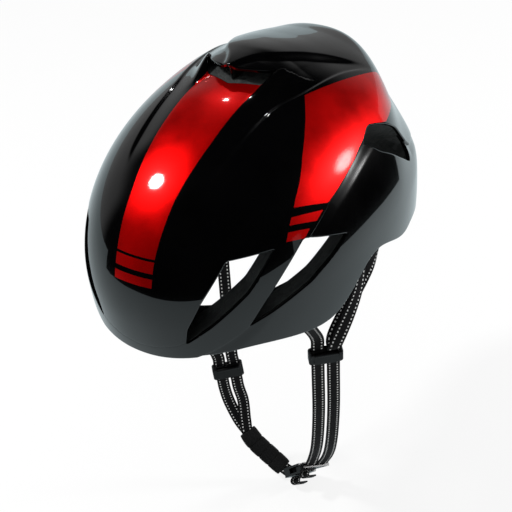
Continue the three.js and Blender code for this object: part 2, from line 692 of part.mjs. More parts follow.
function buckleMale() {
  const outline = new THREE.Shape([
    new THREE.Vector2(CLEARANCE, -BUCKLE.width / 2 + 1),
    new THREE.Vector2(BUCKLE.barLength, -BUCKLE.barWidth / 2),
    new THREE.Vector2(BUCKLE.barLength, BUCKLE.barWidth / 2),
    new THREE.Vector2(CLEARANCE, BUCKLE.width / 2 - 1),
  ]);
  const plate = new THREE.ExtrudeGeometry(outline, { depth: MALE_DEPTH, bevelEnabled: false });
  const slot = buckleBlock(9.8, 11.6, 2 * WEB.width + 1.4, MALE_DEPTH + 2);
  const guide = buckleBlock(-BUCKLE.length + 8, 2, 2.6, BUCKLE.depth - 2 * BUCKLE.wall - 1.4);
  return solid(moved(plate, atBuckle(0, 0, -MALE_DEPTH / 2), BUCKLE_AXIS, BUCKLE_WIDTH))
    .subtract(slot)
    .add(guide);
}

function prong(side) {
  const outline = new THREE.Shape([
    new THREE.Vector2(0, -PRONG.width / 2),
    new THREE.Vector2(0, PRONG.width / 2),
    new THREE.Vector2(-PRONG.length + 6, PRONG.width / 2),
    new THREE.Vector2(-PRONG.length + 5, PRONG.width / 2 + PRONG.head),
    new THREE.Vector2(-PRONG.length, PRONG.width / 2 - 0.6),
    new THREE.Vector2(-PRONG.length, -PRONG.width / 2),
  ]);
  const body = new THREE.ExtrudeGeometry(outline, { depth: PRONG.thickness, bevelEnabled: false });
  const start = atBuckle(0, side * PRONG.place, -side * PRONG.thickness / 2);
  return solid(moved(body, start, BUCKLE_AXIS, BUCKLE_WIDTH.clone().multiplyScalar(side)));
}

// The loose end of the webbing is folded back on itself in two short loops under the buckle.
function tailLoop(along, across, reach, depth) {
  const lift = -depth / 2 - WEB.thickness / 2 - 2 * CLEARANCE;
  return ribbon([
    atBuckle(along, across, lift),
    atBuckle(along - reach, across, lift),
    atBuckle(along - reach - 2.6, across, lift - 2.6),
    atBuckle(along - reach, across, lift - 5.2),
    atBuckle(along, across, lift - 5.2),
  ], BUCKLE_WIDTH, BUCKLE_WIDTH, 16);
}

place("buckle_female", buckleFemale(), plastic);
place("buckle_male", buckleMale(), plastic);
place("release_prong_front", prong(-1), plastic);
place("release_prong_rear", prong(1), plastic);
place("strap_tail_female", tailLoop(-10, 0, 8, BUCKLE.depth), webbing);
place("strap_tail_male", tailLoop(11, -STRAND_SHIFT, 7, MALE_DEPTH), webbing);

// ---------------------------------------------------------------- fit cradle and dial
function fitBlock(width, depth, height, x, y, z) {
  return block(width, depth, height, vec(x, DIAL.y + y, DIAL.z + z));
}

function alongY(radius, from, to, sides = 20) {
  return cylinderAlong(vec(0, 1, 0), radius, to - from, vec(0, DIAL.y + (from + to) / 2, DIAL.z), sides);
}

function uprightPlate(width, height, thickness, corner, x, y) {
  const plate = roundedPlate(width, height, thickness, corner);
  return solid(moved(plate, vec(x, DIAL.y + y, DIAL.z), vec(1, 0, 0), vec(0, 0, 1)));
}

const TUNNEL = HOUSING.tunnelDepth / 2;
const HOUSING_FRONT = -TUNNEL - 1.8;
const HOUSING_BACK = HOUSING_FRONT + HOUSING.depth;

function dialHousing() {
  const middle = (HOUSING_FRONT + HOUSING_BACK) / 2;
  const body = uprightPlate(2 * HOUSING.half, HOUSING.height, HOUSING.depth, 6, 0, middle);
  const tunnel = fitBlock(2 * HOUSING.half + 4, HOUSING.tunnelDepth, HOUSING.tunnelHeight, 0, 0, 0);
  const bore = alongY(DIAL.spindle + CLEARANCE, 0, HOUSING_BACK + 2, 12);
  return body.subtract(tunnel).subtract(bore);
}

function toothed(radiusAt) {
  const shape = new THREE.Shape();
  const corners = radiusAt.length;
  for (let i = 0; i < corners; i += 1) {
    const [angle, radius] = radiusAt[i];
    const point = [Math.cos(angle) * radius, Math.sin(angle) * radius];
    if (i === 0) shape.moveTo(...point);
    else shape.lineTo(...point);
  }
  return shape;
}

const TOOTH_GAP = 1.1;
const PINION_TIP = DIAL.pitch + RACK.tooth;

function pinion() {
  const corners = [];
  for (let tooth = 0; tooth < DIAL.teeth; tooth += 1) {
    const middle = Math.PI / 2 + (tooth / DIAL.teeth) * 2 * Math.PI;
    [[-0.2, DIAL.pitch - TOOTH_GAP], [-0.07, PINION_TIP], [0.07, PINION_TIP], [0.2, DIAL.pitch - TOOTH_GAP]]
      .forEach(([turn, radius]) => corners.push([middle + turn, radius]));
  }
  const width = RACK.thickness;
  const gear = new THREE.ExtrudeGeometry(toothed(corners), { depth: width, bevelEnabled: false });
  const placed = moved(gear, vec(0, DIAL.y + width / 2, DIAL.z), vec(1, 0, 0), vec(0, 0, 1));
  return solid(placed).add(alongY(DIAL.spindle, -width / 2, HOUSING_BACK + 5, 12));
}

function dialKnob() {
  const corners = [];
  for (let lobe = 0; lobe < DIAL.lobes; lobe += 1) {
    const middle = (lobe / DIAL.lobes) * 2 * Math.PI;
    corners.push([middle, DIAL.knob], [middle + Math.PI / DIAL.lobes, DIAL.knob - 0.9]);
  }
  const depth = DIAL.knobDepth;
  const start = HOUSING_BACK + CLEARANCE;
  const body = new THREE.ExtrudeGeometry(toothed(corners), { depth, bevelEnabled: false });
  const placed = moved(body, vec(0, DIAL.y + start + depth, DIAL.z), vec(1, 0, 0), vec(0, 0, 1));
  return solid(placed).subtract(alongY(DIAL.spindle + CLEARANCE, start - 2, start + 5, 12));
}

function rack(side) {
  const pitch = 2 * Math.PI * DIAL.pitch / DIAL.teeth;
  const reach = HOUSING.half + ARM.travel + 2;
  const base = DIAL.pitch + TOOTH_GAP;
  const shape = new THREE.Shape();
  shape.moveTo(reach, base);
  shape.lineTo(reach, base + RACK.height);
  shape.lineTo(-RACK.overlap, base + RACK.height);
  shape.lineTo(-RACK.overlap, base);
  const first = -Math.floor(RACK.overlap / pitch) + 0.5;
  for (let tooth = first; tooth * pitch < HOUSING.half - 6; tooth += 1) {
    const x = tooth * pitch;
    shape.lineTo(x - 0.6, base);
    shape.lineTo(x - 0.3, DIAL.pitch - RACK.tooth);
    shape.lineTo(x + 0.3, DIAL.pitch - RACK.tooth);
    shape.lineTo(x + 0.6, base);
  }
  const bar = new THREE.ExtrudeGeometry(shape, { depth: RACK.thickness, bevelEnabled: false });
  const start = vec(0, DIAL.y + RACK.thickness / 2, DIAL.z);
  return solid(moved(bar, start, vec(side, 0, 0), vec(0, 0, side)));
}

function fitArm(side) {
  const reach = HOUSING.half + ARM.travel + 2;
  const middle = DIAL.z + side * (DIAL.pitch + TOOTH_GAP + RACK.height / 2);
  const size = { width: ARM.height, thickness: ARM.thickness };
  const eye = vec(side * (PIVOT.eyeX - ARM.thickness / 2), PIVOT.y, PIVOT.z);
  const band = ribbon([
    vec(side * (reach - 2), DIAL.y, middle),
    vec(side * (reach + 4), DIAL.y - 1, middle),
    vec(side * 52, 44, -53),
    vec(side * 64, 5, -41),
    vec(side * (PIVOT.eyeX - 0.8), -28, -27),
    eye,
  ], vec(0, 0, 1), vec(0, 0, 1), 18, 1, size);
  const disc = alongX(2 * PIVOT.pin, PIVOT.eyeX - ARM.thickness, PIVOT.eyeX, side, PIVOT.y, PIVOT.z);
  const pin = alongX(PIVOT.pin, PIVOT.eyeX - 1, PIVOT.eyeX + PIVOT.pinLength, side, PIVOT.y, PIVOT.z);
  return band.add(rack(side)).add(disc).add(pin);
}

function heightTongue() {
  const top = DIAL.z + HOUSING.height / 2 + CLEARANCE;
  const start = THREE.MathUtils.radToDeg(Math.asin((top - PIVOT.z) / TONGUE_RADIUS)) + 0.03;
  const half = TONGUE.thickness / 2;
  return sector(TONGUE_RADIUS - half, TONGUE_RADIUS + half, start, TONGUE.top, TONGUE.width);
}

const coverPlace = HOUSING_FRONT - CLEARANCE - COVER.thickness / 2;
const padPlace = coverPlace - COVER.thickness / 2 - CLEARANCE - OCCIPITAL_PAD.thickness / 2;

function occipitalPad(side) {
  const { width, height, thickness, x } = OCCIPITAL_PAD;
  return uprightPlate(width, height, thickness, 5, side * x, padPlace);
}

place("dial_housing", dialHousing(), plastic);
place("housing_cover", uprightPlate(COVER.width, COVER.height, COVER.thickness, 8, 0, coverPlace), plastic);
place("height_tongue", heightTongue(), plastic);
place("occipital_pad_left", occipitalPad(1), textile);
place("occipital_pad_right", occipitalPad(-1), textile);
place("dial_knob", dialKnob(), plastic);
place("dial_pinion", pinion(), plastic);
place("fit_arm_left", fitArm(1), plastic);
place("fit_arm_right", fitArm(-1), plastic);

// ---------------------------------------------------------------- the seat on the head is z = 0
helmet.position.z = PAD - HEAD.top;

export default helmet;
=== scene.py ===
"""Aero road-cycling helmet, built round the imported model, in metres in the row frame.

Lengths in the tables below are millimetres in shell coordinates, whose origin is inside the
head cavity; metres() turns them into the row frame. The wearer faces -Y, the left is +X.
"""
import math
from functools import partial

import bmesh
import bpy
import numpy as np
from mathutils import Matrix, Vector


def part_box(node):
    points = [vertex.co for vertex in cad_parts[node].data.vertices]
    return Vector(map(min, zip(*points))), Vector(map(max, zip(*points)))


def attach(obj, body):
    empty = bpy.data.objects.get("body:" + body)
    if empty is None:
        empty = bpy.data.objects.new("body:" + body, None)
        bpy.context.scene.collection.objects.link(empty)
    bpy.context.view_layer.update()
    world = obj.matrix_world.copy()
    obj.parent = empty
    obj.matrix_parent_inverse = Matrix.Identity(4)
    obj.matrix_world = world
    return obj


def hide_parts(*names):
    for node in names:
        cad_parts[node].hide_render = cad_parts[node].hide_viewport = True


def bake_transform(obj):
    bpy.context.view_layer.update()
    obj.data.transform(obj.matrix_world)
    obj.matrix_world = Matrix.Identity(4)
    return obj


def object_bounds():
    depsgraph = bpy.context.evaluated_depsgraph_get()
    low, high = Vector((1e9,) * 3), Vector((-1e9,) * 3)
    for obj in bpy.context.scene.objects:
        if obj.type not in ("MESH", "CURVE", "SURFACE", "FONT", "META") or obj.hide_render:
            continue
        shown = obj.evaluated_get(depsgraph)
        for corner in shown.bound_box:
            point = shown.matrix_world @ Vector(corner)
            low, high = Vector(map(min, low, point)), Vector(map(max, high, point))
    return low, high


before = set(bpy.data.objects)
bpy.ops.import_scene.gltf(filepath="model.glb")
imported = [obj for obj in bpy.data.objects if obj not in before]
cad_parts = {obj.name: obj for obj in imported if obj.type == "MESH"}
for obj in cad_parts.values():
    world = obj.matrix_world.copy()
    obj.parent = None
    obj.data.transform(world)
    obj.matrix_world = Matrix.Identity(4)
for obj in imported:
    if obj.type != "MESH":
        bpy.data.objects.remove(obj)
cad_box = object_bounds()

MM = 0.001
DROP = 78.0
FRONT, REAR, HALF, TOP, LOW, POWER = 155.0, 148.0, 100.0, 111.0, 170.0, 2.2
HEAD_HALF, HEAD_LENGTH, HEAD_TOP, HEAD_LOW, HEAD_Y = 77.0, 102.0, 84.0, 240.0, -20.0
SKIN = 2.0
PAD, PAD_BACK, PAD_EDGE = 6.0, 0.5, 1.4
# the distance to an outline where there is no outline
FAR = 99.0


def metres(points):
    return (np.asarray(points, float) - [0, 0, DROP]) * MM


def unit(v):
    v = np.asarray(v, float)
    return v / np.linalg.norm(v, axis=-1, keepdims=True)


def smooth(t):
    t = np.clip(t, 0, 1)
    return t * t * (3 - 2 * t)


def ease(value, start, span):
    """0 up to start and 1 from start + span on, with a smooth step between them."""
    return smooth((value - start) / span)


# ---- camera
AZIMUTH, ELEVATION, ROLL = map(math.radians, (36.74, 35.54, -8.1))
DISTANCE, LENS, SENSOR = 0.9434, 90.12, 36.0
SHIFT = (-0.00849609375, -0.1133203125)


def make_camera():
    right = Vector((math.cos(AZIMUTH), math.sin(AZIMUTH), 0))
    back = Vector((
        math.sin(AZIMUTH) * math.cos(ELEVATION),
        -math.cos(AZIMUTH) * math.cos(ELEVATION),
        math.sin(ELEVATION),
    ))
    up = back.cross(right)
    camera_x = right * math.cos(ROLL) + up * math.sin(ROLL)
    camera_y = up * math.cos(ROLL) - right * math.sin(ROLL)
    data = bpy.data.cameras.new("camera")
    data.sensor_width = SENSOR
    data.lens = LENS
    data.shift_x, data.shift_y = SHIFT
    data.clip_start, data.clip_end = 0.05, 50
    camera = bpy.data.objects.new("camera", data)
    bpy.context.scene.collection.objects.link(camera)
    basis = Matrix((camera_x, camera_y, back)).transposed()
    camera.matrix_world = Matrix.Translation(Vector((0, 0, -DROP * MM)) + back * DISTANCE) @ basis.to_4x4()
    bpy.context.scene.camera = camera


make_camera()


# ---- surfaces round the head
SHOULDER = {"share": 0.08, "azimuth": 155, "around": 45, "elevation": 18, "upright": 22}


def swell(t):
    return np.maximum(0, 1 - t * t) ** 2


def shoulder(d):
    """How much closer in the surface lies on the hollow shoulders either side of the tail."""
    azimuth = np.degrees(np.arctan2(abs(d[:, 0]), -d[:, 1]))
    elevation = np.degrees(np.arctan2(d[:, 2], np.hypot(d[:, 0], d[:, 1])))
    around = swell((azimuth - SHOULDER["azimuth"]) / SHOULDER["around"])
    return SHOULDER["share"] * around * swell((elevation - SHOULDER["elevation"]) / SHOULDER["upright"])


def shell_radius(d):
    span = np.where(d[:, 1] < 0, FRONT, REAR)
    height = np.where(d[:, 2] > 0, TOP, LOW)
    total = abs(d[:, 0] / HALF) ** POWER + abs(d[:, 1] / span) ** POWER + abs(d[:, 2] / height) ** POWER
    return (1 - shoulder(d)) * total ** (-1 / POWER)


def head_radius(d):
    height = np.where(d[:, 2] > 0, HEAD_TOP, HEAD_LOW)
    a = (d[:, 0] / HEAD_HALF) ** 2 + (d[:, 1] / HEAD_LENGTH) ** 2 + (d[:, 2] / height) ** 2
    b = d[:, 1] * HEAD_Y / HEAD_LENGTH ** 2
    c = (HEAD_Y / HEAD_LENGTH) ** 2 - 1
    return (b + np.sqrt(b * b - a * c)) / a


RIM = ((0, 25, 55, 84, 118, 150, 180), (-24, -20, -34, -12, -33, -46, -48))


def rim_height(p):
    angle = np.degrees(abs(np.arctan2(p[:, 0], -p[:, 1])))
    index = np.clip(np.searchsorted(RIM[0], angle) - 1, 0, len(RIM[0]) - 2)
    a, z = np.array(RIM[0], float), np.array(RIM[1], float)
    share = smooth((angle - a[index]) / (a[index + 1] - a[index]))
    return z[index] + (z[index + 1] - z[index]) * share


def on_shell(azimuth, height):
    """The point of the outer surface at an azimuth in degrees and a height."""
    a = math.radians(azimuth)
    elevation = 0.0
    for _ in range(40):
        level = math.cos(elevation)
        d = np.array([[math.sin(a) * level, -math.cos(a) * level, math.sin(elevation)]])
        radius = shell_radius(d)[0]
        elevation = math.asin(max(-0.95, min(0.95, height / radius)))
    return d[0] * radius


# ---- flat outlines
def segments(q, line):
    """Each segment of a line: its two ends, its run, and how far the flat points q are from it."""
    for a, b in zip(line[:-1], line[1:]):
        edge = b - a
        t = np.clip(((q - a) @ edge) / max(edge @ edge, 1e-12), 0, 1)
        yield a, b, edge, np.linalg.norm(q - a - t[:, None] * edge, axis=1)


def polygon_distance(q, polygon):
    """Signed distance of flat points q to a closed polygon, positive inside."""
    polygon = np.asarray(polygon, float)
    best = np.full(len(q), 1e9)
    inside = np.zeros(len(q), bool)
    for a, b, edge, reach in segments(q, np.vstack([polygon, polygon[:1]])):
        best = np.minimum(best, reach)
        crosses = (a[1] > q[:, 1]) != (b[1] > q[:, 1])
        rise = edge[1] if abs(edge[1]) > 1e-12 else 1e-12
        inside ^= crosses & (q[:, 0] < a[0] + (q[:, 1] - a[1]) * edge[0] / rise)
    return np.where(inside, best, -best)


def line_distance(q, line):
    """Signed distance of flat points q to an open line, positive on its left side."""
    best = np.full(len(q), 1e9)
    sign = np.ones(len(q))
    for a, _, edge, reach in segments(q, np.asarray(line, float)):
        side = edge[0] * (q[:, 1] - a[1]) - edge[1] * (q[:, 0] - a[0])
        closer = reach < best - 1e-9
        sign = np.where(closer, np.sign(side), sign)
        best = np.where(closer, reach, best)
    return best * sign


def rounded(polygon, radius, steps=4):
    """The same outline with its corners rounded off."""
    polygon = np.asarray(polygon, float)
    out = []
    for before, corner, after in zip(np.roll(polygon, 1, axis=0), polygon, np.roll(polygon, -1, axis=0)):
        a, b = before - corner, after - corner
        reach = min(radius, 0.4 * np.linalg.norm(a), 0.4 * np.linalg.norm(b))
        start, end = corner + unit(a) * reach, corner + unit(b) * reach
        for k in range(steps + 1):
            t = k / steps
            out.append((1 - t) ** 2 * start + 2 * t * (1 - t) * corner + t * t * end)
    return np.array(out)


def centripetal(points, count):
    """Points evenly spaced along the smooth curve through the given points."""
    p = np.asarray(points, float)
    p = np.vstack([2 * p[0] - p[1], p, 2 * p[-1] - p[-2]])
    dense = []
    for i in range(1, len(p) - 2):
        knots = [0.0]
        for a, b in zip(p[i - 1:i + 2], p[i:i + 3]):
            knots.append(knots[-1] + max(np.linalg.norm(b - a), 1e-6) ** 0.5)
        t0, t1, t2, t3 = knots
        for t in np.linspace(t1, t2, 60, endpoint=False):
            a1 = (t1 - t) / (t1 - t0) * p[i - 1] + (t - t0) / (t1 - t0) * p[i]
            a2 = (t2 - t) / (t2 - t1) * p[i] + (t - t1) / (t2 - t1) * p[i + 1]
            a3 = (t3 - t) / (t3 - t2) * p[i + 1] + (t - t2) / (t3 - t2) * p[i + 2]
            b1 = (t2 - t) / (t2 - t0) * a1 + (t - t0) / (t2 - t0) * a2
            b2 = (t3 - t) / (t3 - t1) * a2 + (t - t1) / (t3 - t1) * a3
            dense.append((t2 - t) / (t2 - t1) * b1 + (t - t1) / (t2 - t1) * b2)
    dense.append(p[-2])
    dense = np.array(dense)
    reach = np.concatenate([[0], np.cumsum(np.linalg.norm(np.diff(dense, axis=0), axis=1))])
    at = np.linspace(0, reach[-1], count)
    return np.stack([np.interp(at, reach, dense[:, k]) for k in range(p.shape[1])], axis=1), reach[-1]


def tube_faces(rings, size):
    """The faces of a closed tube through so many rings of points, its two caps last."""
    faces = []
    for start in range(0, (rings - 1) * size, size):
        for j in range(size):
            a, b = start + j, start + (j + 1) % size
            faces.append((a, b, b + size, a + size))
    last = (rings - 1) * size
    return faces + [tuple(reversed(range(size))), tuple(range(last, last + size))]


class Passage:
    """A straight passage through the shell and the foam, whose section is an outline on the shell."""

    def __init__(self, outline, way, before, after, corner=2.0):
        points = np.array([on_shell(*p) for p in outline])
        self.centre = points.mean(axis=0)
        self.w = unit(way)
        self.u = unit(np.cross([0, 0, 1], self.w))
        self.v = np.cross(self.w, self.u)
        self.before, self.after = before, after
        self.outline = rounded(self.flat(points), corner)

    def flat(self, p):
        gap = p - self.centre
        return np.stack([gap @ self.u, gap @ self.v], axis=1)

    def distance(self, p):
        """Positive outside the passage."""
        d = -polygon_distance(self.flat(p), self.outline)
        along = (p - self.centre) @ self.w
        return np.where((along < -self.before) | (along > self.after), FAR, d)

    def prism(self, name, grow=0.0):
        """A closed prism that fills the passage, in millimetres."""
        ring = self.outline
        middle = ring.mean(axis=0)
        ring = middle + (ring - middle) * (1 + grow / np.abs(ring - middle).max())
        base = self.centre + ring[:, :1] * self.u + ring[:, 1:] * self.v
        points = np.vstack([base - self.w * self.before, base + self.w * self.after])
        return raw_mesh(name, points, tube_faces(2, len(ring)))


WINDOW_FRONT = [(25, 47), (39, 44), (30, 23.3), (19.7, 4.2), (13, -8), (14, 4), (18, 23)]
WINDOW_REAR = [(49.5, 41), (68.6, 24), (60.6, 17.9), (49.5, 9.7), (39, 4.4), (29, -3), (34.5, 13),
               (41.5, 28)]
SIDE_SLOT = [(97, 64), (107, 68.5), (117, 60), (126, 46), (133, 23), (128, 12), (117, 31), (105, 50)]
WINDOW_WAY = (-0.61, 0.73, -0.28)
SLOT_WAY = (-0.85, -0.35, -0.45)


def both_sides(outline, way, before, after, corner=2.0):
    other = [(-a, z) for a, z in outline][::-1]
    return [
        Passage(outline, way, before, after, corner),
        Passage(other, (-way[0], way[1], way[2]), before, after, corner),
    ]


windows_front = both_sides(WINDOW_FRONT, WINDOW_WAY, 40, 75)
windows_rear = both_sides(WINDOW_REAR, WINDOW_WAY, 30, 60)
side_slots = both_sides(SIDE_SLOT, SLOT_WAY, 25, 60, 4.0)

TAIL_VENT = {"half_width": 12, "half_height": 7, "pitch": 32, "z": -14, "corner": 4, "behind": 60}


def tail_distance(p):
    """Positive outside the three vents of the tail."""
    d = np.full(len(p), FAR)
    w, h = TAIL_VENT["half_width"], TAIL_VENT["half_height"]
    for column in (-1, 0, 1):
        x, z = column * TAIL_VENT["pitch"], TAIL_VENT["z"]
        box = rounded([(x - w, z - h), (x + w, z - h), (x + w, z + h), (x - w, z + h)], TAIL_VENT["corner"])
        d = np.minimum(d, -polygon_distance(p[:, [0, 2]], box))
    return np.where(p[:, 1] > TAIL_VENT["behind"], d, FAR)


# ---- the crown's raised shapes
CREASE_TABLE = ((-100, -88, -52, -23, 2, 47, 78, 120), (30, 34, 38, 41, 47, 52.5, 57, 60))
RISE_TABLE = ((-15, 6, 14, 20, 35, 60, 84, 110, 130), (11.8, 10.8, 10.4, 9.6, 6.8, 2.8, 2.6, 7.5, 6))
RIM_LINE = [(0, -17), (4, -6), (10, 4.5), (19, 15), (27, 31), (35, 46), (42, 58), (48, 68), (54, 80),
            (60, 100), (60, 240)]
RIM_DROP, RIM_WIDTH = ((-20, 0, 20, 90), (1.8, 2.4, 4.0, 3.0)), 5.0
LIP_Y, CORNER_X, CORNER_Y = -15.0, 31.0, 6.0
MOUTH_EDGE = ((0, 22, 31), (-17.5, -9.4, 6))
# where each smooth step starts, and its span
AHEAD_OF_LIP, BESIDE_MOUTH = (0, 26), (20, 11)
DROP_OUTWARDS, DROP_REARWARDS = (0.7, 0.3), (70, 30)
TROUGH_FRONT, TROUGH_REAR = (-100, 26), (50, 34)
DIP_FRONT, DIP_SIDE = (-45, 35), (20, 8)
TROUGH_DEPTH, TROUGH_HALF, TROUGH_REACH, MOUTH_DIP = 1.5, 1.6, 17, 1.8


def smooth_curve(table, count=120):
    """A table's rows of places and values, followed by a smooth curve through them."""
    points, _ = centripetal(list(zip(*table)), count)
    return points[:, 0], points[:, 1]


RISE, CREASE = smooth_curve(RISE_TABLE), smooth_curve(CREASE_TABLE)


def lip_line(x):
    return LIP_Y + (CORNER_Y - LIP_Y) * (abs(x) / CORNER_X) ** 2


def mouth_middle(x):
    return (np.interp(abs(x), *MOUTH_EDGE) + lip_line(x)) / 2


def roof(x, y):
    """Height of the hood and its flanks above the plain shell."""
    a = np.clip(abs(x) / np.interp(y, *CREASE), 0, 1)
    return np.interp(y, *RISE) * (1 - a ** 3) ** 1.5


def rim_curve():
    half, _ = centripetal(RIM_LINE, 60)
    return np.vstack([half[::-1] * [-1, 1], half[1:]])


RIM_CURVE = rim_curve()


def rim_side(p):
    """Distance behind the hood's rim, negative ahead of it and outside it."""
    return polygon_distance(p[:, :2], RIM_CURVE)


def crown_height(x, y):
    """Height of the visible surface above the plain shell."""
    crease = np.interp(y, *CREASE)
    middle = mouth_middle(x)
    front = roof(x, np.maximum(y, LIP_Y)) * (1 - ease(lip_line(x) - y, *AHEAD_OF_LIP))
    front = front * ease(abs(x), *BESIDE_MOUTH)
    drop = np.interp(y, *RIM_DROP) * ease(-rim_side(np.stack([x, y], axis=1)), 0, RIM_WIDTH)
    drop = drop * (1 - ease(np.clip(abs(x) / crease, 0, 1), *DROP_OUTWARDS))
    drop = drop * (1 - ease(y, *DROP_REARWARDS))
    height = np.where(y > middle, roof(x, y) - drop, front)
    inwards = crease - abs(x)
    inner_side = 1 - ease(inwards, TROUGH_HALF, TROUGH_REACH)
    outer_side = ease(inwards, -TROUGH_HALF, 2 * TROUGH_HALF)
    trough = np.where(inwards > TROUGH_HALF, inner_side, outer_side)
    trough = TROUGH_DEPTH * ease(y, *TROUGH_FRONT) * (1 - ease(y, *TROUGH_REAR)) * trough
    dip = MOUTH_DIP * ease(y, *DIP_FRONT) * (1 - ease(abs(x), *DIP_SIDE)) * (y < middle)
    return height - trough - dip


def surface(d):
    """The visible outer surface along directions d, with its raised shapes."""
    p = d * shell_radius(d)[:, None]
    top = smooth(p[:, 2] / 30)
    p[:, 2] += crown_height(p[:, 0], p[:, 1]) * top
    return p


# ---- meshes
def raw_mesh(name, points, faces):
    mesh = bpy.data.meshes.new(name)
    mesh.from_pydata(np.asarray(points, float).tolist(), [], [list(map(int, f)) for f in faces])
    mesh.update()
    return mesh


def link(name, mesh):
    obj = bpy.data.objects.new(name, mesh)
    bpy.context.scene.collection.objects.link(obj)
    return obj


def sphere_directions(level):
    bm = bmesh.new()
    bmesh.ops.create_icosphere(bm, subdivisions=level, radius=1.0)
    d = np.array([v.co[:] for v in bm.verts])
    faces = np.array([[v.index for v in f.verts] for f in bm.faces])
    bm.free()
    return unit(d), faces


SNAP = 0.04


def cut(d, faces, field, both=False):
    """Keeps the part where field is positive, cut exactly along its zero line.

    d are unit directions. With both, the faces of the other part stay too.
    """
    value = field.copy()
    value[abs(value) < SNAP] = SNAP
    keep = value > 0
    count = keep[faces].sum(axis=1)
    whole, none = faces[count == 3], faces[count == 0]
    split = faces[(count == 1) | (count == 2)]
    extra, index, made = [], {}, len(d)

    def crossing(i, j):
        nonlocal made
        key = (i, j) if i < j else (j, i)
        if key not in index:
            a, b = key
            t = value[a] / (value[a] - value[b])
            extra.append(d[a] * (1 - t) + d[b] * t)
            index[key] = made
            made += 1
        return index[key]

    inner, outer = [], []
    for triangle in split.tolist():
        kept = [keep[i] for i in triangle]
        lone = kept.index(True) if sum(kept) == 1 else kept.index(False)
        a, b, c = triangle[lone], triangle[(lone + 1) % 3], triangle[(lone + 2) % 3]
        ab, ac = crossing(a, b), crossing(a, c)
        single, double = [(a, ab, ac)], [(ab, b, c), (ab, c, ac)]
        if keep[a]:
            inner += single
            outer += double
        else:
            inner += double
            outer += single
    d = np.vstack([d, unit(np.array(extra))]) if extra else d
    inner_faces = np.vstack([whole, np.array(inner, int).reshape(-1, 3)])
    if not both:
        return compact(d, inner_faces)
    return d, np.vstack([inner_faces, none, np.array(outer, int).reshape(-1, 3)])


def compact(d, faces):
    used = np.unique(faces)
    place = np.full(len(d), -1)
    place[used] = np.arange(len(used))
    return d[used], place[faces]


def vertex_normals(p, faces):
    n = np.cross(p[faces[:, 1]] - p[faces[:, 0]], p[faces[:, 2]] - p[faces[:, 0]])
    out = np.zeros_like(p)
    for k in range(3):
        np.add.at(out, faces[:, k], n)
    return unit(out + 1e-12)


FEWEST_IN_LOOP = 13


def open_edges(faces):
    """Chains of vertices along the open edges, in face order, without the shortest ones."""
    edges = np.vstack([faces[:, [0, 1]], faces[:, [1, 2]], faces[:, [2, 0]]])
    key = np.sort(edges, axis=1)
    _, first, count = np.unique(key, axis=0, return_index=True, return_counts=True)
    follow = {}
    for a, b in edges[first[count == 1]]:
        follow.setdefault(int(a), []).append(int(b))
    loops = []
    while follow:
        start = next(iter(follow))
        loop, here = [], start
        while here in follow:
            loop.append(here)
            after = follow[here].pop()
            if not follow[here]:
                del follow[here]
            here = after
        if len(loop) >= FEWEST_IN_LOOP:
            loops.append(loop)
    return loops


def roll_edges(p, faces, radius, depth, steps=5):
    """Turns open edges inwards round a small radius, then straight in by depth."""
    normals = vertex_normals(p, faces)
    points, quads, made = [p], [faces], len(p)
    for loop in open_edges(faces):
        loop = np.array(loop)
        here = p[loop]
        ahead = np.roll(here, -1, axis=0) - np.roll(here, 1, axis=0)
        for _ in range(2):
            ahead = ahead + 0.5 * (np.roll(ahead, 1, axis=0) + np.roll(ahead, -1, axis=0))
        n = normals[loop]
        for _ in range(2):
            n = unit(n + 0.5 * (np.roll(n, 1, axis=0) + np.roll(n, -1, axis=0)))
        away = unit(np.cross(unit(ahead), n))
        size = len(loop)
        rows = [loop]
        for k in range(1, steps + 1):
            angle = math.pi / 2 * k / steps
            ring = here + away * radius * math.sin(angle) - n * radius * (1 - math.cos(angle))
            points.append(ring)
            rows.append(np.arange(made, made + size))
            made += size
        for share in (0.3, 1.0):
            points.append(here + away * radius - n * (radius + depth * share))
            rows.append(np.arange(made, made + size))
            made += size
        for low, high in zip(rows[:-1], rows[1:]):
            nxt_low, nxt_high = np.roll(low, -1), np.roll(high, -1)
            quads.append(np.stack([low, high, nxt_low], axis=1))
            quads.append(np.stack([nxt_low, high, nxt_high], axis=1))
    return np.vstack(points), np.vstack(quads)


def shell_object(name, points, faces, labels):
    """A smooth mesh in black, and in red where the labels of its first faces are 1."""
    mesh = raw_mesh(name, metres(points), faces)
    mesh.polygons.foreach_set("use_smooth", [True] * len(mesh.polygons))
    for material in (BLACK, RED):
        mesh.materials.append(material)
    padded = np.zeros(len(mesh.polygons), int)
    padded[:len(labels)] = labels
    mesh.polygons.foreach_set("material_index", padded.tolist())
    mesh.update()
    return link(name, mesh)


def settle(obj, body, slot_name, *nodes):
    """Parents a piece to the empty of the body it rides on, and hides the CAD nodes that it stands for;
    slot_name is not used.
    """
    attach(obj, body)
    if nodes:
        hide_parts(*nodes)


# ---- materials
def new_material(name):
    material = bpy.data.materials.new(name)
    material.use_nodes = True
    nodes, links = material.node_tree.nodes, material.node_tree.links
    return material, nodes, links, nodes["Principled BSDF"]


def set_sockets(node, **values):
    """Sets sockets by their names, written with _ for a space."""
    for name, value in values.items():
        node.inputs[name.replace("_", " ")].default_value = value


def texture(nodes, links, kind, per_metre, detail=None, feature=None):
    """A texture with so many cells per metre, laid out in object coordinates (the row frame)."""
    where = nodes.new("ShaderNodeTexCoord")
    mapping = nodes.new("ShaderNodeMapping")
    set_sockets(mapping, Scale=[float(v) for v in np.broadcast_to(per_metre, 3)])
    links.new(where.outputs["Object"], mapping.inputs["Vector"])
    node = nodes.new("ShaderNodeTex" + kind)
    set_sockets(node, Scale=1.0)
    if detail is not None:
        set_sockets(node, Detail=detail)
    if feature is not None:
        node.feature = feature
    links.new(mapping.outputs["Vector"], node.inputs["Vector"])
    return node.outputs


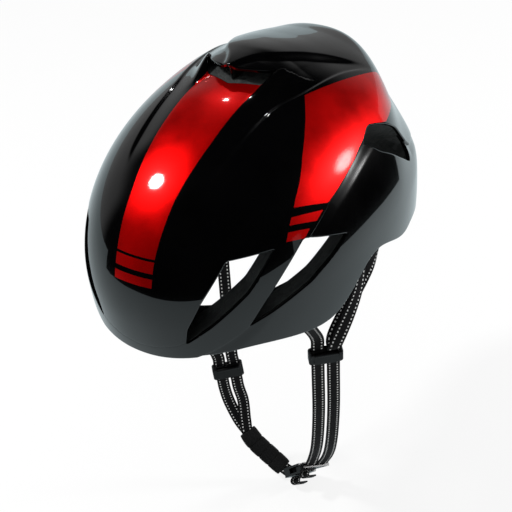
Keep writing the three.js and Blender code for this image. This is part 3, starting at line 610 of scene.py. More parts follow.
def math_node(nodes, links, operation, *values):
    node = nodes.new("ShaderNodeMath")
    node.operation = operation
    for socket, value in zip(node.inputs, values):
        if isinstance(value, (int, float)):
            socket.default_value = value
        else:
            links.new(value, socket)
    return node.outputs[0]


def split_xyz(nodes, links, vector):
    node = nodes.new("ShaderNodeSeparateXYZ")
    links.new(vector, node.inputs[0])
    return node.outputs


def ramp(nodes, links, value, stops):
    node = nodes.new("ShaderNodeValToRGB")
    node.color_ramp.elements[0].position, node.color_ramp.elements[0].color = stops[0]
    node.color_ramp.elements[1].position, node.color_ramp.elements[1].color = stops[-1]
    for position, colour in stops[1:-1]:
        node.color_ramp.elements.new(position).color = colour
    links.new(value, node.inputs["Fac"])
    return node.outputs["Color"]


def grey(v):
    return (v, v, v, 1)


def colour_mix(nodes, links, factor, pale):
    """A mix node whose second colour is given; its first colour is set by the caller."""
    node = nodes.new("ShaderNodeMix")
    node.data_type = "RGBA"
    node.inputs["B"].default_value = pale
    links.new(factor, node.inputs["Factor"])
    return node


def shades(colour, *factors):
    return [(*[c * k for c in colour], 1) for k in factors]


def spread(nodes, links, value, socket, low, high, start=0.3, end=0.7):
    """Drives a socket from low to high as the value goes from start to end."""
    links.new(ramp(nodes, links, value, [(start, low), (end, high)]), socket)


def bump(nodes, links, shader, height, strength, distance):
    node = nodes.new("ShaderNodeBump")
    set_sockets(node, Strength=strength, Distance=distance)
    links.new(height, node.inputs["Height"])
    links.new(node.outputs["Normal"], shader.inputs["Normal"])


def lacquer(name, dark, light, rough, **values):
    """Paint under a clear coat, with fine flakes, faint mottling and polishing haze."""
    material, nodes, links, shader = new_material(name)
    flakes = texture(nodes, links, "Voronoi", 2600)["Distance"]
    cloud = texture(nodes, links, "Noise", 28, detail=3.0)["Fac"]
    mottling = math_node(nodes, links, "MULTIPLY_ADD", flakes, 0.5, cloud)
    spread(nodes, links, mottling, shader.inputs["Base Color"], dark, light, 0.35, 0.95)
    spread(nodes, links, cloud, shader.inputs["Roughness"], grey(rough * 0.85), grey(rough * 1.15))
    set_sockets(shader, Coat_Weight=1.0, **values)
    return material


def moulded(name, colour, rough, grain=1500.0, depth=0.00003):
    """Moulded plastic with a fine spark-eroded texture and slightly polished high spots."""
    material, nodes, links, shader = new_material(name)
    fine = texture(nodes, links, "Noise", grain, detail=4.0)["Fac"]
    broad = texture(nodes, links, "Noise", 90, detail=2.0)["Fac"]
    spread(nodes, links, broad, shader.inputs["Base Color"], *shades(colour, 0.75, 1.3))
    spread(nodes, links, broad, shader.inputs["Roughness"], grey(rough * 0.8), grey(rough * 1.2))
    set_sockets(shader, Specular_IOR_Level=0.25)
    bump(nodes, links, shader, fine, 0.5, depth)
    return material


BEADS_PER_METRE = 330
BEAD_SHADES = (0.022, 0.026, 0.026, 1), (0.05, 0.056, 0.055, 1)


def bead_foam():
    """Moulded bead foam: packed beads a few millimetres across, each with its own shade."""
    material, nodes, links, shader = new_material("bead_foam")
    beads = texture(nodes, links, "Voronoi", BEADS_PER_METRE)["Color"]
    edge = texture(nodes, links, "Voronoi", BEADS_PER_METRE, feature="DISTANCE_TO_EDGE")["Distance"]
    spread(nodes, links, beads, shader.inputs["Base Color"], *BEAD_SHADES, 0.1, 0.9)
    set_sockets(shader, Roughness=0.72, Specular_IOR_Level=0.4)
    crack = ramp(nodes, links, edge, [(0.0, grey(0)), (0.12, grey(0.8)), (0.5, grey(1))])
    bump(nodes, links, shader, crack, 0.7, 0.00035)
    return material


def knit(name, colour):
    """Knitted mesh cloth over foam: rows of small loops with a soft sheen, and painted shade in the gaps
    between the loops.
    """
    material, nodes, links, shader = new_material(name)
    loops = texture(nodes, links, "Voronoi", (900, 900, 700))["Distance"]
    cloud = texture(nodes, links, "Noise", 60, detail=3.0)["Fac"]
    # partly a random cloudy tone, partly painted shade: the colour darkens from each loop's middle out into
    # the gaps between the loops
    depth = math_node(nodes, links, "MULTIPLY_ADD", loops, 0.7, cloud)
    spread(nodes, links, depth, shader.inputs["Base Color"], *shades(colour, 1.5, 0.5), end=1.0)
    set_sockets(shader, Roughness=0.9, Sheen_Weight=0.12, Sheen_Roughness=0.4, Specular_IOR_Level=0.2)
    bump(nodes, links, shader, loops, 0.8, 0.00035)
    return material


WEB_WIDTH, WEB_THICKNESS, WEB_CORNER = 10.0, 1.3, 0.55
THREAD = {"place": 2.9, "half": 0.5, "pitch": 3.0, "dash": 0.42}
RIB_PITCH, WARP_PITCH = 0.55, 0.8
THREAD_COLOUR = (0.6, 0.61, 0.6, 1)
# painted shade for the weave's hollows and a paler painted highlight for its raised ribs
WEB_PAINTED_SHADING = (0.0012, 0.0012, 0.0014, 1), (0.009, 0.009, 0.01, 1)


def woven():
    """Black woven webbing with two rows of dotted white thread, its weave painted darker in the hollows and
    paler on the rises; U is millimetres across, V along.
    """
    material, nodes, links, shader = new_material("webbing")
    calc = partial(math_node, nodes, links)
    uv = nodes.new("ShaderNodeUVMap")
    uv.uv_map = "weave"
    across, along, _ = split_xyz(nodes, links, uv.outputs["UV"])
    row = calc("SUBTRACT", calc("ABSOLUTE", across), THREAD["place"])
    near = calc("LESS_THAN", calc("ABSOLUTE", row), THREAD["half"])
    dash = calc("LESS_THAN", calc("FRACT", calc("DIVIDE", along, THREAD["pitch"])), THREAD["dash"])
    thread = calc("MULTIPLY", near, dash)
    ribs = calc("SINE", calc("MULTIPLY", along, 2 * math.pi / RIB_PITCH))
    warp = calc("SINE", calc("MULTIPLY", across, 2 * math.pi / WARP_PITCH))
    lift = calc("MULTIPLY_ADD", calc("MULTIPLY", ribs, warp), 0.25, 0.5)
    mix = colour_mix(nodes, links, thread, THREAD_COLOUR)
    # painted shade and highlight: the weave is coloured darker where it lies low and paler where it rises
    spread(nodes, links, lift, mix.inputs["A"], *WEB_PAINTED_SHADING, 0.25, 0.75)
    links.new(mix.outputs["Result"], shader.inputs["Base Color"])
    spread(nodes, links, thread, shader.inputs["Roughness"], grey(0.78), grey(0.4), 0, 1)
    set_sockets(shader, Sheen_Weight=0.03, Specular_IOR_Level=0.12)
    bump(nodes, links, shader, calc("MULTIPLY_ADD", thread, 0.7, lift), 0.7, 0.0002)
    return material


BLACK = lacquer(
    "gloss_black", (0.0003, 0.0003, 0.0004, 1), (0.0011, 0.0011, 0.0013, 1), rough=0.22,
    Metallic=0, Specular_IOR_Level=0.05, Coat_Roughness=0.025, Coat_IOR=1.5,
)
RED = lacquer(
    "candy_red", (0.42, 0.0004, 0.0004, 1), (0.86, 0.001, 0.001, 1), rough=0.36,
    Metallic=0.8, Specular_IOR_Level=0.1, Coat_Roughness=0.07, Coat_IOR=1.3,
)
FOAM = bead_foam()
KNIT = knit("knit_black", (0.007, 0.007, 0.008))
SLEEVE = knit("sleeve_black", (0.006, 0.006, 0.0065))
WEBBING = woven()
NYLON = moulded("satin_nylon", (0.003, 0.003, 0.0034), 0.42)
ACETAL = moulded("gloss_acetal", (0.003, 0.003, 0.0033), 0.24, grain=700.0, depth=0.00001)
RUBBER = moulded("soft_rubber", (0.008, 0.008, 0.0085), 0.68, grain=900.0, depth=0.00006)


# ---- shells
SEAM = [(-149, -70), (-149, -24), (-142, -18), (-134, -12), (-122, -3), (-106, 12), (-90, 26), (-73, 38),
        (-42, 52), (-10, 60), (5, 63), (26, 66), (60, 42), (84, 16), (112, 6), (170, 2)]
LIP = 0.9
NOSE_LINE = [(-40, -4), (-29, -10), (-15, -14), (0, -15.5), (15, -14), (29, -10), (40, -4)]
SEAM_GAP, SEAM_LAP, NOSE_GROOVE, NOSE_BEHIND = 0.2, 2.0, 0.3, -100
# the radius of a rolled edge, and how far it then goes in
LIP_EDGE, NOSE_EDGE = (LIP, 1.6), (0.5, 1.8)
TUCK = {"lap": 1.2, "start": 0.5, "span": 9, "everywhere": 0.1}
WELL_BELOW_RIM = -60

STRIPE_HALF = ((-160, -141, -129, -113, -91, -73, -39, 0), (14.6, 15, 16, 17, 19.5, 21, 22, 22.5))
CENTRE_END = 50.5
CENTRE_BANDS = ((42.0, 49.0), (33.0, 38.7))
SIDE_TURN = 1.9
SIDE_STRIPE = [(49, 0, 100), (59.5, 82, 76), (64, 118, 52), (84, 48, 59), (82, 26, 68), (85, 5, 64),
               (87, -10, 60), (88, -42, 52), (88, -45, 52), (77, -69, 61), (76, -65, 64.5), (74, -54, 72),
               (69, -40, 82), (59, -17, 93.5)]
SIDE_BANDS = [
    [(78, -74, 57), (87.5, -51, 50), (87, -59, 46.5), (78, -78, 53)],
    [(79, -81, 50), (86, -66, 45), (85, -72.5, 41), (79, -85, 45)],
]
STRIPES_ABOVE, CENTRE_HALF, CENTRE_BACK = 20, 30, 10
# a field's values where there is no stripe, and where nothing is cut
OFF, WHOLE = -5, 9.0


def side_flat(p):
    """Millimetres back and millimetres round from the top, for points of either side."""
    p = np.asarray(p, float)
    return np.stack([p[:, 1], SIDE_TURN * np.degrees(np.arctan2(abs(p[:, 0]), p[:, 2]))], axis=1)


def stripe_field(p):
    """Positive on the red stripes."""
    x, z = abs(p[:, 0]), p[:, 2]
    wide = np.interp(p[:, 1], *STRIPE_HALF) - x
    field = np.where(p[:, 1] < mouth_middle(x), np.minimum(wide, z - CENTRE_END), OFF)
    for low, high in CENTRE_BANDS:
        band = np.minimum(np.minimum(wide, z - low), high - z)
        field = np.where(p[:, 1] < 0, np.maximum(field, band), field)
    flat = side_flat(p)
    for outline in [SIDE_STRIPE, *SIDE_BANDS]:
        side = polygon_distance(flat, side_flat(outline))
        field = np.maximum(field, np.where(z > STRIPES_ABOVE, side, OFF))
    return field


def seam_field(p):
    """Positive on the upper shell."""
    return line_distance(p[:, [1, 2]], SEAM)


def mouth_field(p):
    """Positive outside the mouth under the hood."""
    x, y = abs(p[:, 0]), p[:, 1]
    ahead = np.interp(x, *MOUTH_EDGE) - y
    behind = y - lip_line(x)
    side = x - CORNER_X
    return np.where(p[:, 2] > 0, np.maximum(np.maximum(ahead, behind), side), FAR)


def openings(p, passages):
    d = np.full(len(p), FAR)
    for passage in passages:
        d = np.minimum(d, passage.distance(p))
    return d


def plain(d):
    return d * shell_radius(d)[:, None]


def above_rim(level, margin):
    """Directions and faces of the sphere above the rim, by a margin in millimetres."""
    d, faces = sphere_directions(level)
    d, faces = compact(d, faces[(plain(d)[:, 2] > WELL_BELOW_RIM)[faces].all(axis=1)])
    return cut(d, faces, plain(d)[:, 2] - rim_height(plain(d)) - margin)


def trim(skin, field, margin):
    """Keeps the part of a skin where the field over its plain points is above the margin."""
    return cut(*skin, field(plain(skin[0])) - margin)


def make_skin(level):
    """Directions and faces of everything above the rim, with windows cut back by the lip radius."""
    skin = above_rim(level, LIP)
    for group in (windows_front, windows_rear, side_slots):
        skin = trim(skin, partial(openings, passages=group), LIP)
    return skin


def stripe_labels(d, faces):
    """Cuts along every stripe edge, then labels the faces whose middle is on a stripe."""
    for height in (CENTRE_END, *[z for band in CENTRE_BANDS for z in band]):
        p = plain(d)
        near_centre = (abs(p[:, 0]) < CENTRE_HALF) & (p[:, 1] < 0)
        d, faces = cut(d, faces, np.where(near_centre, p[:, 2] - height, WHOLE), both=True)
    p = plain(d)
    edge = np.interp(p[:, 1], *STRIPE_HALF) - abs(p[:, 0])
    d, faces = cut(d, faces, np.where(p[:, 1] < CENTRE_BACK, edge, WHOLE), both=True)
    for outline in [SIDE_STRIPE, *SIDE_BANDS]:
        p = plain(d)
        edge = polygon_distance(side_flat(p), side_flat(outline))
        d, faces = cut(d, faces, np.where(p[:, 2] > STRIPES_ABOVE, edge, OFF), both=True)
    faces = faces[(np.diff(np.sort(faces, axis=1), axis=1) > 0).all(axis=1)]
    _, first = np.unique(np.sort(faces, axis=1), axis=0, return_index=True)
    faces = faces[np.sort(first)]
    middle = plain(unit(d[faces].sum(axis=1)))
    return d, faces, (stripe_field(middle) > 0).astype(int)


def shell_piece(name, skin, radius, depth, striped=False, sink=None):
    """The outer surface over a skin, with rolled edges, and sunk by a field if one is given."""
    d, faces = skin
    labels = []
    if striped:
        d, faces, labels = stripe_labels(d, faces)
    p = surface(d)
    if sink is not None:
        p = p - vertex_normals(p, faces) * sink(plain(d))[:, None]
    p, faces = roll_edges(p, faces, radius, depth)
    return shell_object(name, p, faces, labels)


def nose_field(p):
    """Positive above the fine groove across the front band."""
    return np.where(p[:, 1] < NOSE_BEHIND, line_distance(p[:, [0, 2]], NOSE_LINE), FAR)


def tuck(p):
    """How far the lower shell lies in: a little, and more where the upper one laps over it."""
    lapped = 1 - ease(-seam_field(p), TUCK["start"], TUCK["span"])
    return TUCK["lap"] * lapped + TUCK["everywhere"]


skin = make_skin(8)
upper_skin = trim(trim(skin, seam_field, SEAM_GAP), mouth_field, LIP)
front_skin = trim(upper_skin, nose_field, NOSE_GROOVE)
nose_skin = trim(upper_skin, lambda p: -nose_field(p), NOSE_GROOVE)
lower_skin = trim(trim(skin, lambda p: -seam_field(p), -SEAM_LAP), tail_distance, LIP)

upper = shell_piece("shell_upper", front_skin, *LIP_EDGE, striped=True)
nose = shell_piece("shell_nose", nose_skin, *NOSE_EDGE)
lower = shell_piece("shell_lower", lower_skin, *LIP_EDGE, sink=tuck)

settle(upper, "helmet", "gloss_shell", "upper_shell", "crown_hood")
settle(nose, "helmet", "gloss_shell")
settle(lower, "helmet", "lower_gloss", "lower_shell")


# ---- foam liner
LINER_LEVEL, LINER_RIM, LINER_GAP = 6, 1.2, 0.6
# the low and the high corner of each boxy hole in the foam
TOP_SLOT = ((5, 2, 60), (25, 34, 140))
TAIL_HOLE = (
    (-TAIL_VENT["half_width"], 70, TAIL_VENT["z"] - TAIL_VENT["half_height"]),
    (TAIL_VENT["half_width"], 190, TAIL_VENT["z"] + TAIL_VENT["half_height"]),
)
PIVOT_CUP = ((64, -51.6, -24.6), (77.6, -38.4, -11.4))


def make_liner():
    """The foam between the shells and the head, still without its holes, in millimetres."""
    d, faces = above_rim(LINER_LEVEL, LINER_RIM)
    outer = d * (shell_radius(d) - SKIN - LINER_GAP)[:, None]
    inner = d * head_radius(d)[:, None]
    edge, count = [], len(d)
    for loop in open_edges(faces):
        loop = np.array(loop)
        nxt = np.roll(loop, -1)
        edge.append(np.stack([loop, loop + count, nxt], axis=1))
        edge.append(np.stack([nxt, loop + count, nxt + count], axis=1))
    all_faces = np.vstack([faces, faces[:, ::-1] + count, *edge])
    return link("liner", raw_mesh("liner", np.vstack([outer, inner]), all_faces))


def subtract(obj, cutters):
    for cutter in cutters:
        modifier = obj.modifiers.new("cut", "BOOLEAN")
        modifier.operation = "DIFFERENCE"
        modifier.solver = "EXACT"
        modifier.object = cutter
    bake(obj)
    for cutter in cutters:
        mesh = cutter.data
        bpy.data.objects.remove(cutter)
        bpy.data.meshes.remove(mesh)


def bake(obj):
    """Applies the object's modifiers to its mesh."""
    graph = bpy.context.evaluated_depsgraph_get()
    done = bpy.data.meshes.new_from_object(obj.evaluated_get(graph))
    old = obj.data
    obj.modifiers.clear()
    obj.data = done
    bpy.data.meshes.remove(old)


def to_metres(obj):
    count = len(obj.data.vertices)
    flat = np.empty(count * 3)
    obj.data.vertices.foreach_get("co", flat)
    obj.data.vertices.foreach_set("co", metres(flat.reshape(-1, 3)).ravel())
    obj.data.update()


def box_mesh(name, corners, side=1, shift=0):
    """A closed box between two corners, in millimetres, mirrored for side -1, then shifted in X."""
    (x0, y0, z0), (x1, y1, z1) = corners
    x0, x1 = sorted((side * x0 + shift, side * x1 + shift))
    points = [(x, y, z) for z in (z0, z1) for x, y in ((x0, y0), (x1, y0), (x1, y1), (x0, y1))]
    return raw_mesh(name, points, tube_faces(2, 4))


def smooth_by_angle(obj, degrees, outwards=False):
    """Smooth shading, except across edges that turn by more than the angle.

    With outwards, the faces of a closed mesh are first turned to look outwards.
    """
    mesh = obj.data
    bm = bmesh.new()
    bm.from_mesh(mesh)
    if outwards:
        bmesh.ops.recalc_face_normals(bm, faces=bm.faces)
    limit = math.radians(degrees)
    for face in bm.faces:
        face.smooth = True
    for edge in bm.edges:
        edge.smooth = not (len(edge.link_faces) == 2 and edge.calc_face_angle(0.0) > limit)
    bm.to_mesh(mesh)
    bm.free()


liner = make_liner()
passages = [*windows_front, *windows_rear, *side_slots]
cutters = [passage.prism(f"way{number}", grow=0.3) for number, passage in enumerate(passages)]
cutters += [box_mesh(f"slot{side}", TOP_SLOT, side) for side in (-1, 1)]
cutters += [box_mesh(f"tail{k}", TAIL_HOLE, shift=k * TAIL_VENT["pitch"]) for k in (-1, 0, 1)]
cutters += [box_mesh(f"cup{side}", PIVOT_CUP, side) for side in (-1, 1)]
subtract(liner, [link(mesh.name, mesh) for mesh in cutters])
to_metres(liner)
smooth_by_angle(liner, 28)
liner.data.materials.clear()
liner.data.materials.append(FOAM)
settle(liner, "helmet", "foam", "eps_liner")


# ---- keel under the hood
KEEL = {"rows": 16, "half": 2.6, "front": -12.6, "length": 34, "under_roof": 0.8, "depth": 2.2}


def round_edges(obj, width, degrees):
    modifier = obj.modifiers.new("round", "BEVEL")
    modifier.width, modifier.segments, modifier.limit_method = width, 3, "ANGLE"
    modifier.angle_limit = math.radians(degrees)


def keel():
    """The blade that divides the mouth, swept back from the lip, with rounded edges."""
    points = []
    for k in range(KEEL["rows"] + 1):
        y = KEEL["front"] + KEEL["length"] * k / KEEL["rows"]
        top = TOP * (1 - abs(y / (FRONT if y < 0 else REAR)) ** POWER) ** (1 / POWER)
        high = top + float(roof(0.0, max(y, LIP_Y))) - KEEL["under_roof"]
        low = top - KEEL["depth"]
        nose = KEEL["half"] * min(1.0, 0.25 + k / 3)
        points += [(x, y, z) for x, z in ((-nose, low), (nose, low), (nose, high), (-nose, high))]
    obj = link("keel", raw_mesh("keel", metres(points), tube_faces(KEEL["rows"] + 1, 4)))
    round_edges(obj, 0.0008, 50)
    bake(obj)
    smooth_by_angle(obj, 40)
    obj.data.materials.append(BLACK)
    settle(obj, "helmet", "gloss_shell")


keel()


# ---- webbing
def band_section(width, thickness, corner):
    """A closed section, flat with rounded edges."""
    out = []
    w, t = width / 2 - corner, thickness / 2 - corner
    for quarter, (x, y) in enumerate(((w, t), (-w, t), (-w, -t), (w, -t))):
        for k in range(4):
            angle = math.pi / 2 * (quarter + k / 3)
            out.append((x + corner * math.cos(angle), y + corner * math.sin(angle)))
    return np.array(out)


# beyond the webbing's width, so that its cut ends show no thread
END_UV = (9.0, 9.0)


def sweep(name, points, width_from, width_to, turned=1.0, section=None, spacing=1.2, lift=None, shape=None):
    """A band along a curve, with a UV map of millimetres across and along it."""
    section = band_section(WEB_WIDTH, WEB_THICKNESS, WEB_CORNER) if section is None else section
    _, total = centripetal(points, 4)
    rows = max(12, int(total / spacing))
    path, total = centripetal(points, rows + 1)
    t = np.linspace(0, 1, rows + 1)
    tangent = unit(np.gradient(path, axis=0))
    mix = smooth(t / turned)[:, None]
    across = np.asarray(width_from) * (1 - mix) + np.asarray(width_to) * mix
    across = unit(across - (across * tangent).sum(axis=1, keepdims=True) * tangent)
    face = unit(np.cross(tangent, across))
    rise = np.zeros(rows + 1) if lift is None else lift(t)
    size = len(section)
    vertices, uvs = [], []
    for k in range(rows + 1):
        ring = section if shape is None else shape(section, t[k])
        # ring X runs across and ring Y along the face
        vertices.append(path[k] + np.outer(ring[:, 0], across[k]) + np.outer(ring[:, 1] + rise[k], face[k]))
    for k in range(rows):
        for j in range(size):
            u0, u1 = section[j, 0], section[(j + 1) % size, 0]
            v0, v1 = total * t[k], total * t[k + 1]
            uvs += [(u0, v0), (u1, v0), (u1, v1), (u0, v1)]
    uvs += [END_UV] * (2 * size)
    mesh = raw_mesh(name, metres(np.vstack(vertices)), tube_faces(rows + 1, size))
    layer = mesh.uv_layers.new(name="weave")
    layer.data.foreach_set("uv", np.array(uvs, float).ravel())
    obj = link(name, mesh)
    smooth_by_angle(obj, 50)
    return obj


ANCHORS = {"front": (77, -74), "middle": (86, -4), "rear": (79, 50)}
ANCHOR_INSET = 4.0
FACING = unit([0.76, 0.65, 0])
STRAND_SHIFT = (WEB_WIDTH + 1.6) / 2
STRAND_STACK = WEB_THICKNESS / 2 + 0.3
STRAND_END = 3.2
# how far the left strands end short of that, and the right ones of the female half
LEFT_SHORT, RIGHT_SHORT = 3.4, 1.2
DIVIDERS = {
    "left": (1, np.array([69, -40.5, -95.0]), unit([-0.13, 0.08, -0.99])),
    "right": (-1, np.array([-50, -11.5, -184.0]), unit([0, 0.04, -1])),
}
DIVIDER_HEIGHT, DIVIDER_TRAVEL = 14.0, 12.0
DIVIDER_EXIT = -DIVIDER_HEIGHT / 2 - DIVIDER_TRAVEL - 2
BUCKLE_AXIS = unit([0.74, 0, 0.67])
BUCKLE_WIDTH = unit(FACING - BUCKLE_AXIS * (FACING @ BUCKLE_AXIS))
BUCKLE_FACE = np.cross(BUCKLE_AXIS, BUCKLE_WIDTH)
BUCKLE_MOUTH = np.array([18, -12, -269.0])
BUCKLE_LENGTH, BAR_LENGTH, BUCKLE_DEPTH, MALE_DEPTH = 22.0, 13.0, 8.0, 5.0
LEFT_RUN = [(60, -35, -161), (48, -26, -212), (35, -15, -245)]
RIGHT_RUN = [(-49, -9, -222), (-44, -11, -243)]
PAD_RUN = [(-40, -12, -252), (-33, -13, -260), (-20, -13, -270), (-7, -12, -281.5)]


def anchor_width(name, side):
    x, y = ANCHORS[name]
    return unit([-side * (y - HEAD_Y) * HEAD_HALF / HEAD_LENGTH, x * HEAD_LENGTH / HEAD_HALF, 0])


def anchor_foot(name, side):
    x, y = ANCHORS[name]
    azimuth = math.degrees(math.atan2(x, -y))
    low = on_shell(azimuth, rim_height(np.array([[x, y, 0.0]]))[0])
    rim = low[2] * math.hypot(x, y) / math.hypot(low[0], low[1])
    return np.array([side * x, y, rim + ANCHOR_INSET - 0.3])


def divider_across(name):
    down = DIVIDERS[name][2]
    return unit(FACING - down * (FACING @ down))


def at_divider(name, sideways, upwards, outwards=0.0):
    _, centre, down = DIVIDERS[name]
    across = divider_across(name)
    return centre + across * sideways - down * upwards + np.cross(across, -down) * outwards


def at_buckle(along, across=0.0, out=0.0):
    return BUCKLE_MOUTH + BUCKLE_AXIS * along + BUCKLE_WIDTH * across + BUCKLE_FACE * out


def strand_start(side_name, anchor, strand):
    """The way of an outer strand from its anchor straight through the divider."""
    foot = anchor_foot(anchor, DIVIDERS[side_name][0])
    through = [at_divider(side_name, strand * STRAND_SHIFT, up) for up in (18, 9, -9, DIVIDER_EXIT)]
    return [foot + [0, 0, 4], foot + [0, 0, -6], *through]


def left_strand(anchor, strand, turned):
    name = f"left_{anchor}_strap"
    shift = divider_across("left") * strand * STRAND_SHIFT
    route = strand_start("left", anchor, strand) + [np.add(p, shift) for p in LEFT_RUN]
    route.append(at_buckle(BAR_LENGTH + STRAND_END - LEFT_SHORT, strand * STRAND_SHIFT))
    obj = sweep(name, route, anchor_width(anchor, 1), FACING, turned)
    obj.data.materials.append(WEBBING)
    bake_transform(obj)
    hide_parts(name)


def right_strand(anchor, strand):
    name = f"right_{anchor}_strap"
    shift = divider_across("right") * strand * STRAND_SHIFT
    route = strand_start("right", anchor, strand)
    route += [np.add(RIGHT_RUN[0], shift), np.add(RIGHT_RUN[1], shift * 0.4), *PAD_RUN]
    route.append(at_buckle(-BUCKLE_LENGTH - RIGHT_SHORT))
    obj = sweep(name, route, anchor_width(anchor, -1), FACING, 0.3,
                lift=lambda t: strand * STRAND_STACK * ease(t, 0.6, 0.1))
    obj.data.materials.append(WEBBING)
    settle(obj, "helmet", "webbing", name)


def inner_strand(side_name):
    name = f"{side_name}_inner_strap"
    side = DIVIDERS[side_name][0]
    foot = anchor_foot("middle", side)
    route = [foot + [0, 0, 4], foot + [0, 0, -4], foot + [0, 0, -8], foot + [side * 2, -14, -36]]
    for above, out in ((4, 4), (1.0, 2.4)):
        route.append(at_divider(side_name, side * STRAND_SHIFT, DIVIDER_HEIGHT / 2 + above, side * out))
    obj = sweep(name, route, anchor_width("middle", side), FACING)
    obj.data.materials.append(WEBBING)
    settle(obj, "helmet", "webbing", name)


FOLD, FOLD_GAP = 2.6, 0.6


def tail_loop(node, body, along, across, reach, depth):
    """The end of a strap, folded back on itself under its buckle half."""
    lift = -depth / 2 - WEB_THICKNESS / 2 - FOLD_GAP
    turns = ((0, 0), (reach, 0), (reach + FOLD, FOLD), (reach, 2 * FOLD), (0, 2 * FOLD))
    route = [at_buckle(along - back, across, lift - down) for back, down in turns]
    obj = sweep(node, route, BUCKLE_WIDTH, BUCKLE_WIDTH, spacing=0.6)
    obj.data.materials.append(WEBBING)
    settle(obj, body, "webbing", node)


left_strand("front", -1, turned=0.2)
left_strand("rear", 1, turned=0.3)
right_strand("front", -1)
right_strand("rear", 1)
inner_strand("left")
inner_strand("right")
tail_loop("strap_tail_female", "helmet", -10, 0, 8, BUCKLE_DEPTH)
tail_loop("strap_tail_male", "buckle_male", 11, -STRAND_SHIFT, 7, MALE_DEPTH)


# ---- chin pad
CHIN_RIBS, CHIN_RIB_HALF = (0.27, 0.5, 0.73), 0.022


def chin_pad():
    """A soft sleeve with three cross ribs, fuller in the middle and gathered at both ends."""
    def shape(section, t):
        groove = sum(math.exp(-((t - place) / CHIN_RIB_HALF) ** 2) for place in CHIN_RIBS)
        end = abs(2 * t - 1) ** 8
        return section * [1.0 - 0.08 * end - 0.06 * groove, 1.12 - 0.3 * end - 0.3 * groove]

    section = band_section(width=16, thickness=6, corner=2.6)
    obj = sweep("chin_pad", PAD_RUN, FACING, FACING, section=section, spacing=0.5, shape=shape)
    obj.data.materials.append(SLEEVE)
    settle(obj, "helmet", "chin_sleeve", "chin_pad")


chin_pad()


# ---- head pads
QUILT_DEPTH, QUILT_HALF = 0.35, 0.025


def finish_pad(node, body, points, faces):
    """Makes a pad from points in metres and faces that close it."""
    obj = link(f"{node}_soft", raw_mesh(node, points, faces))
    smooth_by_angle(obj, 60, outwards=True)
    obj.data.materials.append(KNIT)
    settle(obj, body, "padding", node)


def head_pad(node, azimuths, elevations, columns=60, rows=24, quilts=0):
    """A crowned pad on the head side of the liner, with a pressed border and sewn channels."""
    a = np.radians(np.linspace(*azimuths, columns + 1))
    e = np.radians(np.linspace(*elevations, rows + 1))
    grid_a, grid_e = np.meshgrid(a, e)
    u = np.linspace(-1, 1, columns + 1)[None, :].repeat(rows + 1, 0)
    v = np.linspace(-1, 1, rows + 1)[:, None].repeat(columns + 1, 1)
    # corners pulled in, so that the outline is rounded
    pull = 1 - 0.10 * (abs(u) ** 6)
    grid_e = e.mean() + (grid_e - e.mean()) * pull
    level = np.cos(grid_e)
    d = np.stack([np.sin(grid_a) * level, -np.cos(grid_a) * level, np.sin(grid_e)], axis=-1).reshape(-1, 3)
    crown = ((1 - abs(u) ** 10) * (1 - abs(v) ** 4)) ** 0.5
    for k in range(quilts):
        place = -1 + 2 * (k + 1) / (quilts + 1)
        crown = crown - QUILT_DEPTH * np.exp(-((u - place) / QUILT_HALF) ** 2) * (1 - abs(v) ** 8)
    radius = head_radius(d)
    back = d * (radius - PAD_BACK)[:, None]
    front = d * (radius - PAD_EDGE - (PAD - PAD_EDGE) * np.clip(crown, 0, 1).reshape(-1))[:, None]
    count = len(back)
    faces = []
    for r in range(rows):
        for c in range(columns):
            i = r * (columns + 1) + c
            quad = (i, i + 1, i + columns + 2, i + columns + 1)
            faces.append(quad)
            faces.append(tuple(count + q for q in reversed(quad)))
    border = list(range(columns + 1))
    border += [r * (columns + 1) + columns for r in range(1, rows + 1)]
    border += [rows * (columns + 1) + c for c in range(columns - 1, -1, -1)]
    border += [r * (columns + 1) for r in range(rows - 1, 0, -1)]
    for i, j in zip(border, border[1:] + border[:1]):
        faces.append((j, i, i + count, j + count))
    finish_pad(node, "helmet", metres(np.vstack([back, front])), faces)


FLAT_PAD_PROFILE = (
    (1.0, 1.0), (1.0, 0.0), (0.97, -0.25), (0.9, -0.3),
    (0.84, -0.45), (0.7, -0.8), (0.45, -0.96), (0.2, -1.0),
)


def flat_pad(node, body, size=56):
    """A small crowned pad with a pressed border, its flat side to the rear, filling a CAD node's box."""
    low, high = (np.array(corner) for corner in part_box(node))
    middle, half = (low + high) / 2, (high - low) / 2
    points = []
    for share, depth in FLAT_PAD_PROFILE:
        for k in range(size):
            angle = 2 * math.pi * k / size
            c, s = math.cos(angle), math.sin(angle)
            reach = share / (abs(c) ** 4 + abs(s) ** 4) ** 0.25
            points.append(middle + half * [reach * c, depth, reach * s])
    finish_pad(node, body, points, tube_faces(len(FLAT_PAD_PROFILE), size))


flat_pad("occipital_pad_left", "fit_cradle")
flat_pad("occipital_pad_right", "fit_cradle")
head_pad("brow_pad", (-52, 52), (-9, -3), columns=160, rows=16, quilts=5)
head_pad("temple_pad_left", (70, 108), (4, 22), quilts=1)
head_pad("temple_pad_right", (-108, -70), (4, 22), quilts=1)
head_pad("crown_pad", (-36, 36), (38, 78), quilts=2)


# ---- hard parts from the CAD
FINE, SMALL, MIDDLE, WIDE = 0.0003, 0.0004, 0.0005, 0.0006


def dress(node, material, width):
    """Rounds a CAD part's edges and gives it its material."""
    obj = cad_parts[node]
    for slot in obj.material_slots:
        slot.link = "OBJECT"
        slot.material = material
    round_edges(obj, width, 35)


